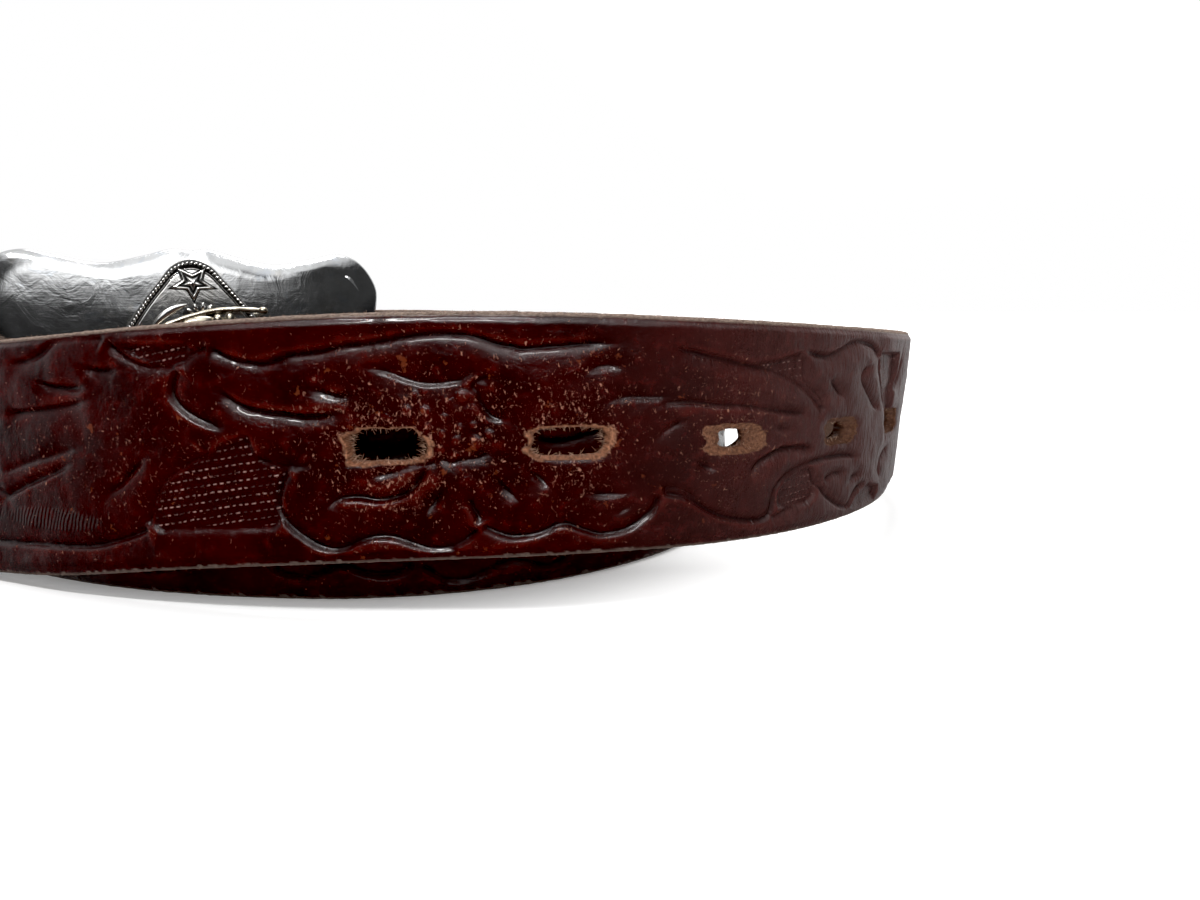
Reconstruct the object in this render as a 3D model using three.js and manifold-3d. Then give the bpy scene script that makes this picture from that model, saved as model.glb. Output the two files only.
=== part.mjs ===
// Western tooled leather belt, loosely rolled up and standing on its lower edge.
// Millimetres, +Z up, table at Z = 0, origin at the bottom centre of the bounding box.
// X runs along the front of the roll and +Y runs away from the side with the punched slots.
//
// The strap is one piece of leather. It starts at its rounded tip at the right of the roll,
// passes the front with its five slots, goes round twice towards the middle, and ends in a
// fold round the loop of the buckle. The buckle is a scalloped domed plate with a soldered
// wire loop and hook on its back, a rope-edged emblem with a star, and a brass crest.
import * as THREE from 'three';
import { mergeVertices } from 'three/addons/utils/BufferGeometryUtils.js';
import Module from 'manifold-3d';

const wasm = await Module();
wasm.setup();

// ---------------------------------------------------------------- driving dimensions
const STRAP_THICK = 3.0;          // leather over most of the length
const FOLD_THICK = 2.2;           // skived leather where it turns round the loop
const SKIVE_LENGTH = 90;          // over which the leather thins down to the fold
const EDGE_BEVEL = 0.45;
const SECTION_STEP = 5;           // spacing of the strap's sections
const TIP_LENGTH = 17;            // rounding of the strap's tip
const TIP_BLUNT = 6;              // width left at the very end

const SLOT_LENGTH = 12;           // punched slots, measured along the strap
const SLOT_HEIGHT = 5;
const SLOT_PITCH = 25.4;
const SLOT_COUNT = 5;
const LAST_SLOT_FROM_TIP = 81.2;
const SLOT_BELOW_MIDDLE = 0.5;    // the row of slots runs a little under the strap's middle line

const COIL_CENTRE = { x: -45, y: 80 };
// One row for each station of the roll, from the tip inwards: turn about the coil's centre in
// degrees, distance to the middle of the leather, height of the lower edge, strap width, and
// how far the upper edge leans outwards, in degrees.
const ROUTE = [
  { turn: 22, radius: 111.2, lower: 9.0, width: 30.5, lean: 3 },
  { turn: 0, radius: 109.6, lower: 8.2, width: 31.4, lean: 4 },
  { turn: -16, radius: 105.4, lower: 7.9, width: 32.4, lean: 4 },
  { turn: -34, radius: 100.6, lower: 8.9, width: 33.4, lean: 3.6 },
  { turn: -48, radius: 96.6, lower: 9.8, width: 34.0, lean: 3.2 },
  { turn: -63, radius: 89.5, lower: 10.1, width: 34.9, lean: 2.6 },
  { turn: -79, radius: 82.0, lower: 9.3, width: 35.8, lean: 1.8 },
  { turn: -101, radius: 78.6, lower: 7.2, width: 36.4, lean: 0.8 },
  { turn: -127, radius: 82, lower: 2.5, width: 38.1, lean: 0 },
  { turn: -150, radius: 92.5, lower: 0.2, width: 38.1, lean: 0 },
  { turn: -180, radius: 99.5, lower: 0, width: 38.1, lean: 0 },
  { turn: -225, radius: 95, lower: 0, width: 38.1, lean: 0 },
  { turn: -270, radius: 86, lower: 0, width: 38.1, lean: 0 },
  { turn: -315, radius: 77.5, lower: 0, width: 38.1, lean: 0 },
  { turn: -360, radius: 70.6, lower: 0, width: 38.1, lean: 0 },
  { turn: -396, radius: 70.4, lower: 0, width: 38.1, lean: 0 },
  { turn: -418, radius: 70.4, lower: 0, width: 38.1, lean: 0 },
  { turn: -447, radius: 70.2, lower: 0, width: 38.1, lean: 0 },
  { turn: -457, radius: 70.2, lower: 0, width: 38.1, lean: 0 },
  { turn: -490, radius: 77, lower: 0, width: 38.1, lean: 0 },
  { turn: -512, radius: 86.5, lower: 0, width: 38.1, lean: 0 },
  { turn: -540, radius: 91, lower: 0, width: 38.1, lean: 0 },
  { turn: -585, radius: 83, lower: 0, width: 38.1, lean: 0 },
  { turn: -630, radius: 76, lower: 1.5, width: 38.1, lean: 0 },
  { turn: -662.8, radius: 73.2, lower: 3.6, width: 37.3, lean: 0 },
  { turn: -683.6, radius: 69.5, lower: 5.2, width: 36.4, lean: 0 },
  { turn: -699.3, radius: 57.5, lower: 7.6, width: 34.6, lean: 0 },
  { turn: -708.5, radius: 41, lower: 9.6, width: 33.4, lean: 0 },
];

// buckle: the plate's middle, and how far its right side is turned away about a vertical line
const PLATE = { x: -79.8, z: 28.8, front: 47.6, turn: 25.4, thick: 1.4, bendRadius: 150, domeRadius: 105 };
// the loop's bar is the axis that the buckle swings on; its place is given from the plate's middle
const LOOP = { across: 29, behind: 13.3 };
const plateTurn = (PLATE.turn * Math.PI) / 180;
const BAR = {
  x: PLATE.x + LOOP.across * Math.cos(plateTurn) - LOOP.behind * Math.sin(plateTurn),
  y: PLATE.front + LOOP.across * Math.sin(plateTurn) + LOOP.behind * Math.cos(plateTurn),
  radius: 1.5, lower: 9.4, upper: 47.9,
};
const FOLD_HEADING = 200;         // direction in which the strap arrives at the bar, in degrees
const FOLD_CLEARANCE = 0.5;       // leather to bar
const FOLD_STRAIGHT = 12;         // straight run of leather before the bar
const FOLD_RETURN = 40;           // leather turned back behind the strap
const FOLD_PINCH = 9;             // over which the two layers close up
const FOLD_LAYER_GAP = 0.4;
const FOLD_LOWER = 12.3;
const FOLD_WIDTH = 32;

// quarter outline of the scalloped plate, from the top's middle round to the side's middle
const PLATE_OUTLINE = [
  { across: 0, up: 27.2 },
  { across: 3.1, up: 27.5 },
  { across: 8.8, up: 26.0 },
  { across: 15.5, up: 24.7 },
  { across: 22.9, up: 26.0 },
  { across: 28.5, up: 27.1 },
  { across: 32.9, up: 25.6 },
  { across: 36.3, up: 20.2 },
  { across: 35.6, up: 14.6 },
  { across: 33.4, up: 8.6 },
  { across: 34.2, up: 0 },
];
// quarter outline of the emblem, from its upper point round to its side
const EMBLEM_OUTLINE = [
  { across: 0, up: 25.7 },
  { across: 3.1, up: 24.6 },
  { across: 5.6, up: 21.75 },
  { across: 8.4, up: 18.2 },
  { across: 11.6, up: 13.4 },
  { across: 15.3, up: 7.4 },
  { across: 17.6, up: 0 },
];
const EMBLEM_GAP = 0.3;
const EMBLEM_THICK = 0.9;
const EMBLEM_RIM = 0.7;           // height of the rope edge above the emblem's face
const STAR = { up: 20.8, outer: 3.3, inner: 1.45, height: 0.45 };

const CREST_GAP = 0.3;
const CREST_WIRE = 0.85;          // radius of the crest's two scrolls
// upper scroll of the crest, lifted where it crosses the rope edge; the lower one is the same
// turned by half a turn
const CREST_SCROLL = [
  { across: -6.8, up: 1.0, lift: 0 },
  { across: -9.4, up: 4.6, lift: 0 },
  { across: -9.2, up: 9.4, lift: 0 },
  { across: -6.2, up: 13.0, lift: 0 },
  { across: -1.5, up: 15.2, lift: 0 },
  { across: 3.2, up: 16.4, lift: 0.1 },
  { across: 7.4, up: 16.7, lift: 0.9 },
  { across: 12.2, up: 16.4, lift: 0.9 },
];
const CREST_BOSS = { across: 8.0, up: 13.6, depth: 1.9 };
// leaf, ball and fluted pieces between the scroll and the boss, as half sizes about a middle
const CREST_PIECES = [
  { across: 0.1, up: 14.0, halfWide: 3.4, halfHigh: 1.5, halfDeep: 1.0, lean: -0.24 },
  { across: 3.9, up: 14.8, halfWide: 1.2, halfHigh: 1.3, halfDeep: 1.3, lean: 0 },
  { across: 6.0, up: 14.5, halfWide: 1.1, halfHigh: 2.0, halfDeep: 1.0, lean: 0.2 },
];

const SNAP = { head: 4.6, shaft: 1.7, dome: 1.3, clearance: 0.3, fromBar: [15, 31] };

// ---------------------------------------------------------------- helpers
function toSolid(geometry) {
  const g = geometry.clone();
  for (const name of Object.keys(g.attributes)) if (name !== 'position') g.deleteAttribute(name);
  const merged = mergeVertices(g, 1e-4);
  return new wasm.Manifold(new wasm.Mesh({
    numProp: 3,
    vertProperties: new Float32Array(merged.attributes.position.array),
    triVerts: new Uint32Array(merged.index.array),
  }));
}

function toGeometry(solid) {
  const m = solid.getMesh();
  const v = new Float32Array(m.numVert * 3);
  for (let i = 0; i < m.numVert; i++) v.set(m.vertProperties.subarray(i * m.numProp, i * m.numProp + 3), i * 3);
  const g = new THREE.BufferGeometry();
  g.setAttribute('position', new THREE.BufferAttribute(v, 3));
  g.setIndex(new THREE.BufferAttribute(new Uint32Array(m.triVerts), 1));
  g.computeVertexNormals();
  return g;
}

// value of each column at q, by a smooth curve through the rows (q grows down the table)
function smoothRow(rows, key, q) {
  const xs = rows.map(key);
  let i = 0;
  while (i < xs.length - 2 && q > xs[i + 1]) i++;
  const h = xs[i + 1] - xs[i], t = (q - xs[i]) / h, out = {};
  const slope = (name, k) => {
    const up = k < xs.length - 1 ? (rows[k + 1][name] - rows[k][name]) / (xs[k + 1] - xs[k]) : null;
    const dn = k > 0 ? (rows[k][name] - rows[k - 1][name]) / (xs[k] - xs[k - 1]) : null;
    if (up === null) return dn;
    if (dn === null) return up;
    const hd = xs[k + 1] - xs[k], hs = xs[k] - xs[k - 1];
    return (hs * up + hd * dn) / (hs + hd);
  };
  for (const name of Object.keys(rows[0])) {
    const a = rows[i][name], b = rows[i + 1][name];
    out[name] = (2 * t ** 3 - 3 * t ** 2 + 1) * a + (t ** 3 - 2 * t ** 2 + t) * h * slope(name, i)
      + (-2 * t ** 3 + 3 * t ** 2) * b + (t ** 3 - t ** 2) * h * slope(name, i + 1);
  }
  return out;
}

const ease = (t) => { const c = Math.min(1, Math.max(0, t)); return c * c * (3 - 2 * c); };

// closed outline through a quarter table mirrored twice, as [across, up] pairs
function mirroredOutline(rows, count) {
  const q = rows.map((r) => new THREE.Vector3(r.across, r.up, 0));
  const pts = [];
  for (let i = 0; i < q.length - 1; i++) pts.push(q[i]);                                          // top right
  for (let i = q.length - 1; i > 0; i--) pts.push(new THREE.Vector3(q[i].x, -q[i].y, 0));         // bottom right
  for (let i = 0; i < q.length - 1; i++) pts.push(new THREE.Vector3(-q[i].x, -q[i].y, 0));        // bottom left
  for (let i = q.length - 1; i > 0; i--) pts.push(new THREE.Vector3(-q[i].x, q[i].y, 0));         // top left
  const curve = new THREE.CatmullRomCurve3(pts, true, 'centripetal');
  return curve.getSpacedPoints(count).slice(0, count).map((p) => [p.x, p.y]);
}

// front surface of the plate: depth along Y at a place across and up from its centre
const plateFront = (across, up) => PLATE.front + across ** 2 / (2 * PLATE.bendRadius) + up ** 2 / (2 * PLATE.domeRadius);

// a shell between two depths in front of or behind the plate's front surface, with one row of
// vertices at each of the given fractions of the outline
function shell(outline, fractions, depthFront, depthBack) {
  const n = outline.length, rings = fractions.length, verts = [], tris = [];
  const layer = (depth) => {
    const base = verts.length / 3;
    verts.push(PLATE.x, plateFront(0, 0) + depth(0), PLATE.z);
    for (const f of fractions) {
      for (const [a, u] of outline) verts.push(PLATE.x + a * f, plateFront(a * f, u * f) + depth(f), PLATE.z + u * f);
    }
    return base;
  };
  const f0 = layer(depthFront), b0 = layer(depthBack);
  const at = (base, k, i) => base + 1 + (k - 1) * n + (i % n);
  for (let i = 0; i < n; i++) {
    tris.push(f0, at(f0, 1, i + 1), at(f0, 1, i), b0, at(b0, 1, i), at(b0, 1, i + 1));
    for (let k = 1; k < rings; k++) {
      tris.push(at(f0, k, i), at(f0, k, i + 1), at(f0, k + 1, i + 1), at(f0, k, i), at(f0, k + 1, i + 1), at(f0, k + 1, i));
      tris.push(at(b0, k, i), at(b0, k + 1, i + 1), at(b0, k, i + 1), at(b0, k, i), at(b0, k + 1, i), at(b0, k + 1, i + 1));
    }
    tris.push(at(f0, rings, i), at(f0, rings, i + 1), at(b0, rings, i + 1), at(f0, rings, i), at(b0, rings, i + 1), at(b0, rings, i));
  }
  return closed(verts, tris);
}

// closed geometry from loose vertices and triangles, turned to face outwards
function closed(verts, tris) {
  const g = new THREE.BufferGeometry();
  g.setAttribute('position', new THREE.BufferAttribute(new Float32Array(verts), 3));
  g.setIndex(tris);
  let six = 0;
  const p = g.attributes.position, a = new THREE.Vector3(), b = new THREE.Vector3(), c = new THREE.Vector3();
  for (let i = 0; i < tris.length; i += 3) {
    a.fromBufferAttribute(p, tris[i]); b.fromBufferAttribute(p, tris[i + 1]); c.fromBufferAttribute(p, tris[i + 2]);
    six += a.dot(b.cross(c));
  }
  if (six < 0) for (let i = 0; i < tris.length; i += 3) [tris[i + 1], tris[i + 2]] = [tris[i + 2], tris[i + 1]];
  g.setIndex(tris);
  return g;
}

// round wire along a curve, with closed ends
function wire(points, radius, steps, sides = 10) {
  const shape = new THREE.Shape();
  for (let i = 0; i < sides; i++) {
    const t = (i / sides) * Math.PI * 2;
    shape[i ? 'lineTo' : 'moveTo'](Math.cos(t) * radius, Math.sin(t) * radius);
  }
  shape.closePath();
  return new THREE.ExtrudeGeometry(shape, { steps, bevelEnabled: false, extrudePath: new THREE.CatmullRomCurve3(points, false, 'centripetal') });
}

// ---------------------------------------------------------------- the strap's route in plan
function strapRoute() {
  const route = [];
  const key = (r) => -r.turn;
  const last = ROUTE[ROUTE.length - 1];
  const fine = 4000;
  let walked = 0, prev = null, next = 0;
  const spiral = (q) => {
    const r = smoothRow(ROUTE, key, q), a = THREE.MathUtils.degToRad(-q);
    return { x: COIL_CENTRE.x + r.radius * Math.cos(a), y: COIL_CENTRE.y + r.radius * Math.sin(a), lower: Math.max(0, r.lower), width: r.width, lean: r.lean };
  };
  for (let i = 0; i <= fine; i++) {
    const p = spiral(key(ROUTE[0]) + (i / fine) * (key(last) - key(ROUTE[0])));
    if (prev) walked += Math.hypot(p.x - prev.x, p.y - prev.y);
    if (walked >= next || i === fine) {
      if (i === fine && next - walked > SECTION_STEP * 0.6) route.pop();
      route.push({ ...p, s: walked });
      next = walked + SECTION_STEP;
    }
    prev = p;
  }
  // lead in from the end of the spiral to the straight run along the bar
  const end = route[route.length - 1], before = spiral(key(last) - 0.2);
  const dir = new THREE.Vector2(end.x - before.x, end.y - before.y).normalize();
  const middle = BAR.radius + FOLD_CLEARANCE + FOLD_THICK / 2;
  const heading = THREE.MathUtils.degToRad(FOLD_HEADING);
  const run = new THREE.Vector2(Math.cos(heading), Math.sin(heading)), side = new THREE.Vector2(-run.y, run.x);
  const start = new THREE.Vector2(BAR.x + side.x * middle - run.x * FOLD_STRAIGHT, BAR.y + side.y * middle - run.y * FOLD_STRAIGHT);
  const span = Math.hypot(start.x - end.x, start.y - end.y);
  const lead = new THREE.CubicBezierCurve3(
    new THREE.Vector3(end.x, end.y, 0), new THREE.Vector3(end.x + dir.x * span * 0.38, end.y + dir.y * span * 0.38, 0),
    new THREE.Vector3(start.x - run.x * span * 0.38, start.y - run.y * span * 0.38, 0), new THREE.Vector3(start.x, start.y, 0));
  const leadLength = lead.getLength(), leadSteps = Math.ceil(leadLength / SECTION_STEP);
  const incoming = [];
  for (let i = 1; i <= leadSteps; i++) {
    const t = i / leadSteps, p = lead.getPointAt(t), e = ease(t);
    incoming.push({ x: p.x, y: p.y, s: walked + t * leadLength, lower: end.lower + (FOLD_LOWER - end.lower) * e, width: end.width + (FOLD_WIDTH - end.width) * e, lean: 0 });
  }
  const flat = { lower: FOLD_LOWER, width: FOLD_WIDTH, lean: 0 };
  for (let i = 1; i <= 3; i++) {
    const d = (FOLD_STRAIGHT * i) / 3;
    incoming.push({ x: start.x + run.x * d, y: start.y + run.y * d, s: walked + leadLength + d, ...flat });
  }
  route.push(...incoming);
  const barS = walked + leadLength + FOLD_STRAIGHT;
  // half turn round the bar
  const turnSteps = 10;
  for (let i = 1; i <= turnSteps; i++) {
    const a = heading + Math.PI / 2 - (i / turnSteps) * Math.PI;
    route.push({ x: BAR.x + middle * Math.cos(a), y: BAR.y + middle * Math.sin(a), s: barS + (i / turnSteps) * Math.PI * middle, ...flat });
  }
  // back behind the strap, closing up on it
  const back = [...route.slice(0, route.length - turnSteps)].reverse();
  const turnEnd = barS + Math.PI * middle;
  for (let i = 1; i < back.length - 1; i++) {
    const along = barS - back[i].s;
    if (along > FOLD_RETURN + 0.5) break;
    const t = new THREE.Vector2(back[i - 1].x - back[i + 1].x, back[i - 1].y - back[i + 1].y).normalize();
    const inward = new THREE.Vector2(t.y, -t.x);                 // towards the middle of the roll
    const close = thicknessAt(back[i].s, barS) / 2 + FOLD_THICK / 2 + FOLD_LAYER_GAP;
    const d = close + (2 * middle - close) * (1 - ease(along / FOLD_PINCH));
    route.push({ x: back[i].x + inward.x * d, y: back[i].y + inward.y * d, s: turnEnd + along, ...flat, width: FOLD_WIDTH - 0.8, lower: FOLD_LOWER + 0.4 });
  }
  return { route, barS };
}

function thicknessAt(s, barS) {
  return FOLD_THICK + (STRAP_THICK - FOLD_THICK) * ease((barS - s) / SKIVE_LENGTH);
}

const { route, barS } = strapRoute();

// frame of the strap at a distance s from the tip
function strapFrame(s) {
  let i = 1;
  while (i < route.length - 1 && route[i].s < s) i++;
  const a = route[i - 1], b = route[i], t = (s - a.s) / (b.s - a.s);
  const mix = (k) => a[k] + (b[k] - a[k]) * t;
  const along = new THREE.Vector3(b.x - a.x, b.y - a.y, 0).normalize();
  return { at: new THREE.Vector3(mix('x'), mix('y'), mix('lower') + mix('width') / 2), along, out: new THREE.Vector3(-along.y, along.x, 0), lean: mix('lean') };
}

// ---------------------------------------------------------------- strap solid
function strapGeometry() {
  const rows = [];
  // extra sections at the tip, to round it
  const tipRows = [0, 0.7, 2.0, 4.2, 7.5, 12.0];
  const start = TIP_LENGTH;
  const tipAt = (d) => {
    const f = strapFrame(Math.max(d, 0.01));
    return { x: f.at.x, y: f.at.y, mid: f.at.z, lean: f.lean };
  };
  for (const d of tipRows) rows.push({ ...tipAt(d), s: d });
  for (const r of route) if (r.s > tipRows[tipRows.length - 1] + 1.5) rows.push({ x: r.x, y: r.y, mid: r.lower + r.width / 2, s: r.s, width: r.width, lean: r.lean });
  for (const r of rows) if (r.width === undefined) r.width = smoothWidth(r.s);
  const verts = [], tris = [], n = rows.length;
  rows.forEach((r, i) => {
    const a = rows[Math.max(0, i - 1)], b = rows[Math.min(n - 1, i + 1)];
    const t = new THREE.Vector2(b.x - a.x, b.y - a.y).normalize();
    const out = new THREE.Vector2(-t.y, t.x);
    const round = r.s < start ? Math.sqrt(1 - (1 - r.s / start) ** 2) : 1;
    const half = Math.max(TIP_BLUNT / 2, (r.width / 2) * round);
    const th = thicknessAt(r.s, barS) / 2;
    const tilt = Math.tan(THREE.MathUtils.degToRad(r.lean));
    const put = (o, z) => verts.push(r.x + out.x * (o + z * tilt), r.y + out.y * (o + z * tilt), r.mid + z);
    const bv = EDGE_BEVEL;
    put(th, -half + bv); put(th, half - bv); put(th - bv, half); put(-th + bv, half);
    put(-th, half - bv); put(-th, -half + bv); put(-th + bv, -half); put(th - bv, -half);
  });
  for (let i = 0; i < n - 1; i++) for (let k = 0; k < 8; k++) {
    const a = i * 8 + k, b = i * 8 + ((k + 1) % 8), c = a + 8, d = b + 8;
    tris.push(a, b, d, a, d, c);
  }
  const cap = (base, flip) => {
    for (let k = 1; k < 7; k++) tris.push(...(flip ? [base, base + k + 1, base + k] : [base, base + k, base + k + 1]));
  };
  cap(0, true);
  cap((n - 1) * 8, false);
  return closed(verts, tris);
}

function smoothWidth(s) {
  let i = 1;
  while (i < route.length - 1 && route[i].s < s) i++;
  const a = route[i - 1], b = route[i];
  return a.width + ((b.width - a.width) * (s - a.s)) / (b.s - a.s);
}

// a cutter or stud standing across the leather at s, on the strap's middle line
function acrossLeather(geometry, s) {
  const f = strapFrame(s);
  const m = new THREE.Matrix4().makeBasis(f.along, new THREE.Vector3(0, 0, 1), new THREE.Vector3().crossVectors(f.along, new THREE.Vector3(0, 0, 1)));
  m.setPosition(f.at);
  return geometry.applyMatrix4(m);
}

let strap = toSolid(strapGeometry());
for (let i = 0; i < SLOT_COUNT; i++) {
  const r = SLOT_HEIGHT / 2, h = SLOT_LENGTH / 2 - r;
  const shape = new THREE.Shape();
  shape.moveTo(-h, -r); shape.lineTo(h, -r);
  shape.absarc(h, 0, r, -Math.PI / 2, Math.PI / 2, false);
  shape.lineTo(-h, r);
  shape.absarc(-h, 0, r, Math.PI / 2, Math.PI * 1.5, false);
  const cutter = new THREE.ExtrudeGeometry(shape, { depth: 10, bevelEnabled: false, curveSegments: 5 }).translate(0, -SLOT_BELOW_MIDDLE, -5);
  strap = strap.subtract(toSolid(acrossLeather(cutter, LAST_SLOT_FROM_TIP + i * SLOT_PITCH)));
}

// ---------------------------------------------------------------- snaps through the two layers of the fold
const snaps = SNAP.fromBar.map((from) => {
  const s = barS - from, f = strapFrame(s);
  const front = thicknessAt(s, barS) / 2, back = front + FOLD_LAYER_GAP + FOLD_THICK;
  const hole = new THREE.CylinderGeometry(SNAP.shaft + SNAP.clearance, SNAP.shaft + SNAP.clearance, 12, 16).rotateX(Math.PI / 2).translate(0, 0, -back / 2);
  const place = (g) => {
    const m = new THREE.Matrix4().makeBasis(f.along.clone().negate(), new THREE.Vector3(0, 0, 1), new THREE.Vector3().crossVectors(f.along.clone().negate(), new THREE.Vector3(0, 0, 1)));
    m.setPosition(f.at);
    return g.applyMatrix4(m);
  };
  strap = strap.subtract(toSolid(place(hole)));
  // profile from the cap behind the leather to the domed head in front of it
  const g = SNAP.clearance, profile = [
    [0, -back - g - 1.0], [3.4, -back - g - 1.0], [3.8, -back - g - 0.5], [3.8, -back - g], [SNAP.shaft, -back - g],
    [SNAP.shaft, front + g], [SNAP.head, front + g], [SNAP.head, front + g + 0.35], [SNAP.head * 0.86, front + g + 0.85], [SNAP.head * 0.5, front + g + SNAP.dome * 0.92], [0, front + g + SNAP.dome],
  ].map(([x, y]) => new THREE.Vector2(x, y));
  return place(new THREE.LatheGeometry(profile, 20).rotateX(Math.PI / 2));
});

// ---------------------------------------------------------------- buckle
const plateOutline = mirroredOutline(PLATE_OUTLINE, 104);
const lip = (f) => 0.9 * Math.max(0, (f - 0.86) / 0.14) ** 2;            // the rim rolls back a little
let plate = toSolid(shell(plateOutline, [0.2, 0.4, 0.6, 0.74, 0.86, 0.94, 1], lip, (f) => lip(f) + PLATE.thick));

// wire loop: the bar and its two legs to the plate's back, soldered on
const loopX = PLATE.x + LOOP.across, loopY = PLATE.front + LOOP.behind;
const bar = new THREE.CylinderGeometry(BAR.radius, BAR.radius, BAR.upper - BAR.lower, 16).rotateX(Math.PI / 2).translate(loopX, loopY, (BAR.upper + BAR.lower) / 2);
plate = plate.add(toSolid(bar));
for (const z of [BAR.lower, BAR.upper]) {
  const root = plateFront(LOOP.across, z - PLATE.z) + PLATE.thick - 0.5;
  const leg = new THREE.CylinderGeometry(BAR.radius, BAR.radius, loopY - root, 12).translate(loopX, (loopY + root) / 2, z);
  const knee = new THREE.SphereGeometry(BAR.radius, 12, 8).translate(loopX, loopY, z);
  plate = plate.add(toSolid(leg)).add(toSolid(knee));
}
// hook for the slots, bent towards the free end of the plate
const hookX = PLATE.x - 25, hookRoot = plateFront(-25, 0) + PLATE.thick - 0.6;
const hookPoints = [[0, 0], [0, 4.6], [-1.4, 6.4], [-4.6, 7.0], [-7.2, 7.4]].map(([dx, dy]) => new THREE.Vector3(hookX + dx, hookRoot + dy, PLATE.z));
plate = plate.add(toSolid(wire(hookPoints, 1.5, 14)));

// emblem: thin panel with a rope-edged rim and a raised star
const emblemOutline = mirroredOutline(EMBLEM_OUTLINE, 96);
const face = -(EMBLEM_GAP + EMBLEM_THICK);
const rim = (f) => face - (f > 0.92 ? EMBLEM_RIM : 0);
let emblem = toSolid(shell(emblemOutline, [0.3, 0.6, 0.91, 0.94, 1], rim, () => -EMBLEM_GAP));
const starShape = new THREE.Shape();
for (let i = 0; i < 10; i++) {
  const a = -Math.PI / 2 + (i * Math.PI) / 5, r = i % 2 ? STAR.inner : STAR.outer;
  starShape[i ? 'lineTo' : 'moveTo'](r * Math.cos(a), r * Math.sin(a));
}
starShape.closePath();
for (const side of [1, -1]) {
  const depthHere = plateFront(0, STAR.up) + face;
  const star = new THREE.ExtrudeGeometry(starShape, { depth: STAR.height + 0.5, bevelEnabled: false })
    .rotateX(Math.PI / 2).scale(1, 1, side).translate(PLATE.x, depthHere + 0.5, PLATE.z + side * STAR.up);
  if (side < 0) { const ix = star.attributes.position; for (let i = 0; i < ix.count; i += 3) { const a = [ix.getX(i + 1), ix.getY(i + 1), ix.getZ(i + 1)]; ix.setXYZ(i + 1, ix.getX(i + 2), ix.getY(i + 2), ix.getZ(i + 2)); ix.setXYZ(i + 2, ...a); } }
  emblem = emblem.add(toSolid(star));
}

// crest: a domed boss with two scrolls, one the half turn of the other
const crestBack = (a, u) => plateFront(a, u) + face - CREST_GAP;
let crest = null;
const join = (g) => { const s = toSolid(g); crest = crest ? crest.add(s) : s; };
const bossOutline = [];
for (let i = 0; i < 40; i++) { const a = (-i / 40) * Math.PI * 2; bossOutline.push([CREST_BOSS.across * Math.cos(a), CREST_BOSS.up * Math.sin(a)]); }
join(shell(bossOutline, [0.25, 0.5, 0.7, 0.85, 1], (f) => face - CREST_GAP - 0.6 - CREST_BOSS.depth * (1 - f * f), () => face - CREST_GAP));
for (const side of [1, -1]) {
  const pts = CREST_SCROLL.map((r) => new THREE.Vector3(PLATE.x + side * r.across, crestBack(r.across, r.up) - CREST_WIRE - r.lift, PLATE.z + side * r.up));
  join(wire(pts, CREST_WIRE, 22, 8));
  const end = pts[pts.length - 1];
  join(new THREE.SphereGeometry(CREST_WIRE * 1.35, 10, 7).translate(end.x, end.y - 0.35, end.z));
  for (const r of CREST_PIECES) {
    join(new THREE.SphereGeometry(1, 12, 8).scale(r.halfWide, r.halfDeep, r.halfHigh).rotateY(r.lean)
      .translate(PLATE.x + side * r.across, crestBack(r.across, r.up) - r.halfDeep, PLATE.z + side * r.up));
  }
}

// the buckle is made facing along -Y and turned as a whole
const turned = (solid) => solid.translate([-PLATE.x, -PLATE.front, 0]).rotate([0, 0, PLATE.turn]).translate([PLATE.x, PLATE.front, 0]);

// ---------------------------------------------------------------- the belt
const leather = new THREE.MeshStandardMaterial({ name: 'leather', color: 0x4a120e, roughness: 0.38, metalness: 0 });
const silver = new THREE.MeshStandardMaterial({ name: 'silver', color: 0xb9bbbe, roughness: 0.22, metalness: 1 });
const brass = new THREE.MeshStandardMaterial({ name: 'brass', color: 0xb9a076, roughness: 0.35, metalness: 1 });

const belt = new THREE.Group();
const add = (name, geometry, material) => { const m = new THREE.Mesh(geometry, material); m.name = name; belt.add(m); };
add('belt_strap', toGeometry(strap), leather);
add('fold_snap_1', snaps[0], silver);
add('fold_snap_2', snaps[1], silver);
add('buckle_plate', toGeometry(turned(plate)), silver);
add('buckle_emblem', toGeometry(turned(emblem)), silver);
add('buckle_crest', toGeometry(turned(crest)), brass);

// stand the belt on the table with its bounding box centred over the origin
const box = new THREE.Box3().setFromObject(belt);
belt.position.set(-(box.min.x + box.max.x) / 2, -(box.min.y + box.max.y) / 2, -box.min.z);

export default belt;
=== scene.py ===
# Looks for a rolled western leather belt with a scalloped silver buckle.
# Metres in Blender; every table below is in millimetres in the belt's own plan, and `place`
# brings it into the frame.
import math
import bpy
import numpy as np
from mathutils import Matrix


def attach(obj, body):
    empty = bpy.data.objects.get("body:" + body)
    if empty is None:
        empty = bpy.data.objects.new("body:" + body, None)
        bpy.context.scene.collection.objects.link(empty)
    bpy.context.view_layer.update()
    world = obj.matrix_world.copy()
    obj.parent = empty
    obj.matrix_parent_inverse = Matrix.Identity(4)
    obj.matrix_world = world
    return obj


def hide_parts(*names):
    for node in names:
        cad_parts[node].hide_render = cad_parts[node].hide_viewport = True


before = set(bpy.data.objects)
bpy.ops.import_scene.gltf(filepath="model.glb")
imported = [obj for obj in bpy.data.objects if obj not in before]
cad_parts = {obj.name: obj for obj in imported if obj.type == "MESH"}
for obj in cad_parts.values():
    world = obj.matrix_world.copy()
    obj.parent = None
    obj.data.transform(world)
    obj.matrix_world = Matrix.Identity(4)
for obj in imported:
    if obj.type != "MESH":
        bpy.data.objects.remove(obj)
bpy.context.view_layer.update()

MM = 0.001
SHIFT = np.array([39.3299, -82.6555, 0.0])


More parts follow.
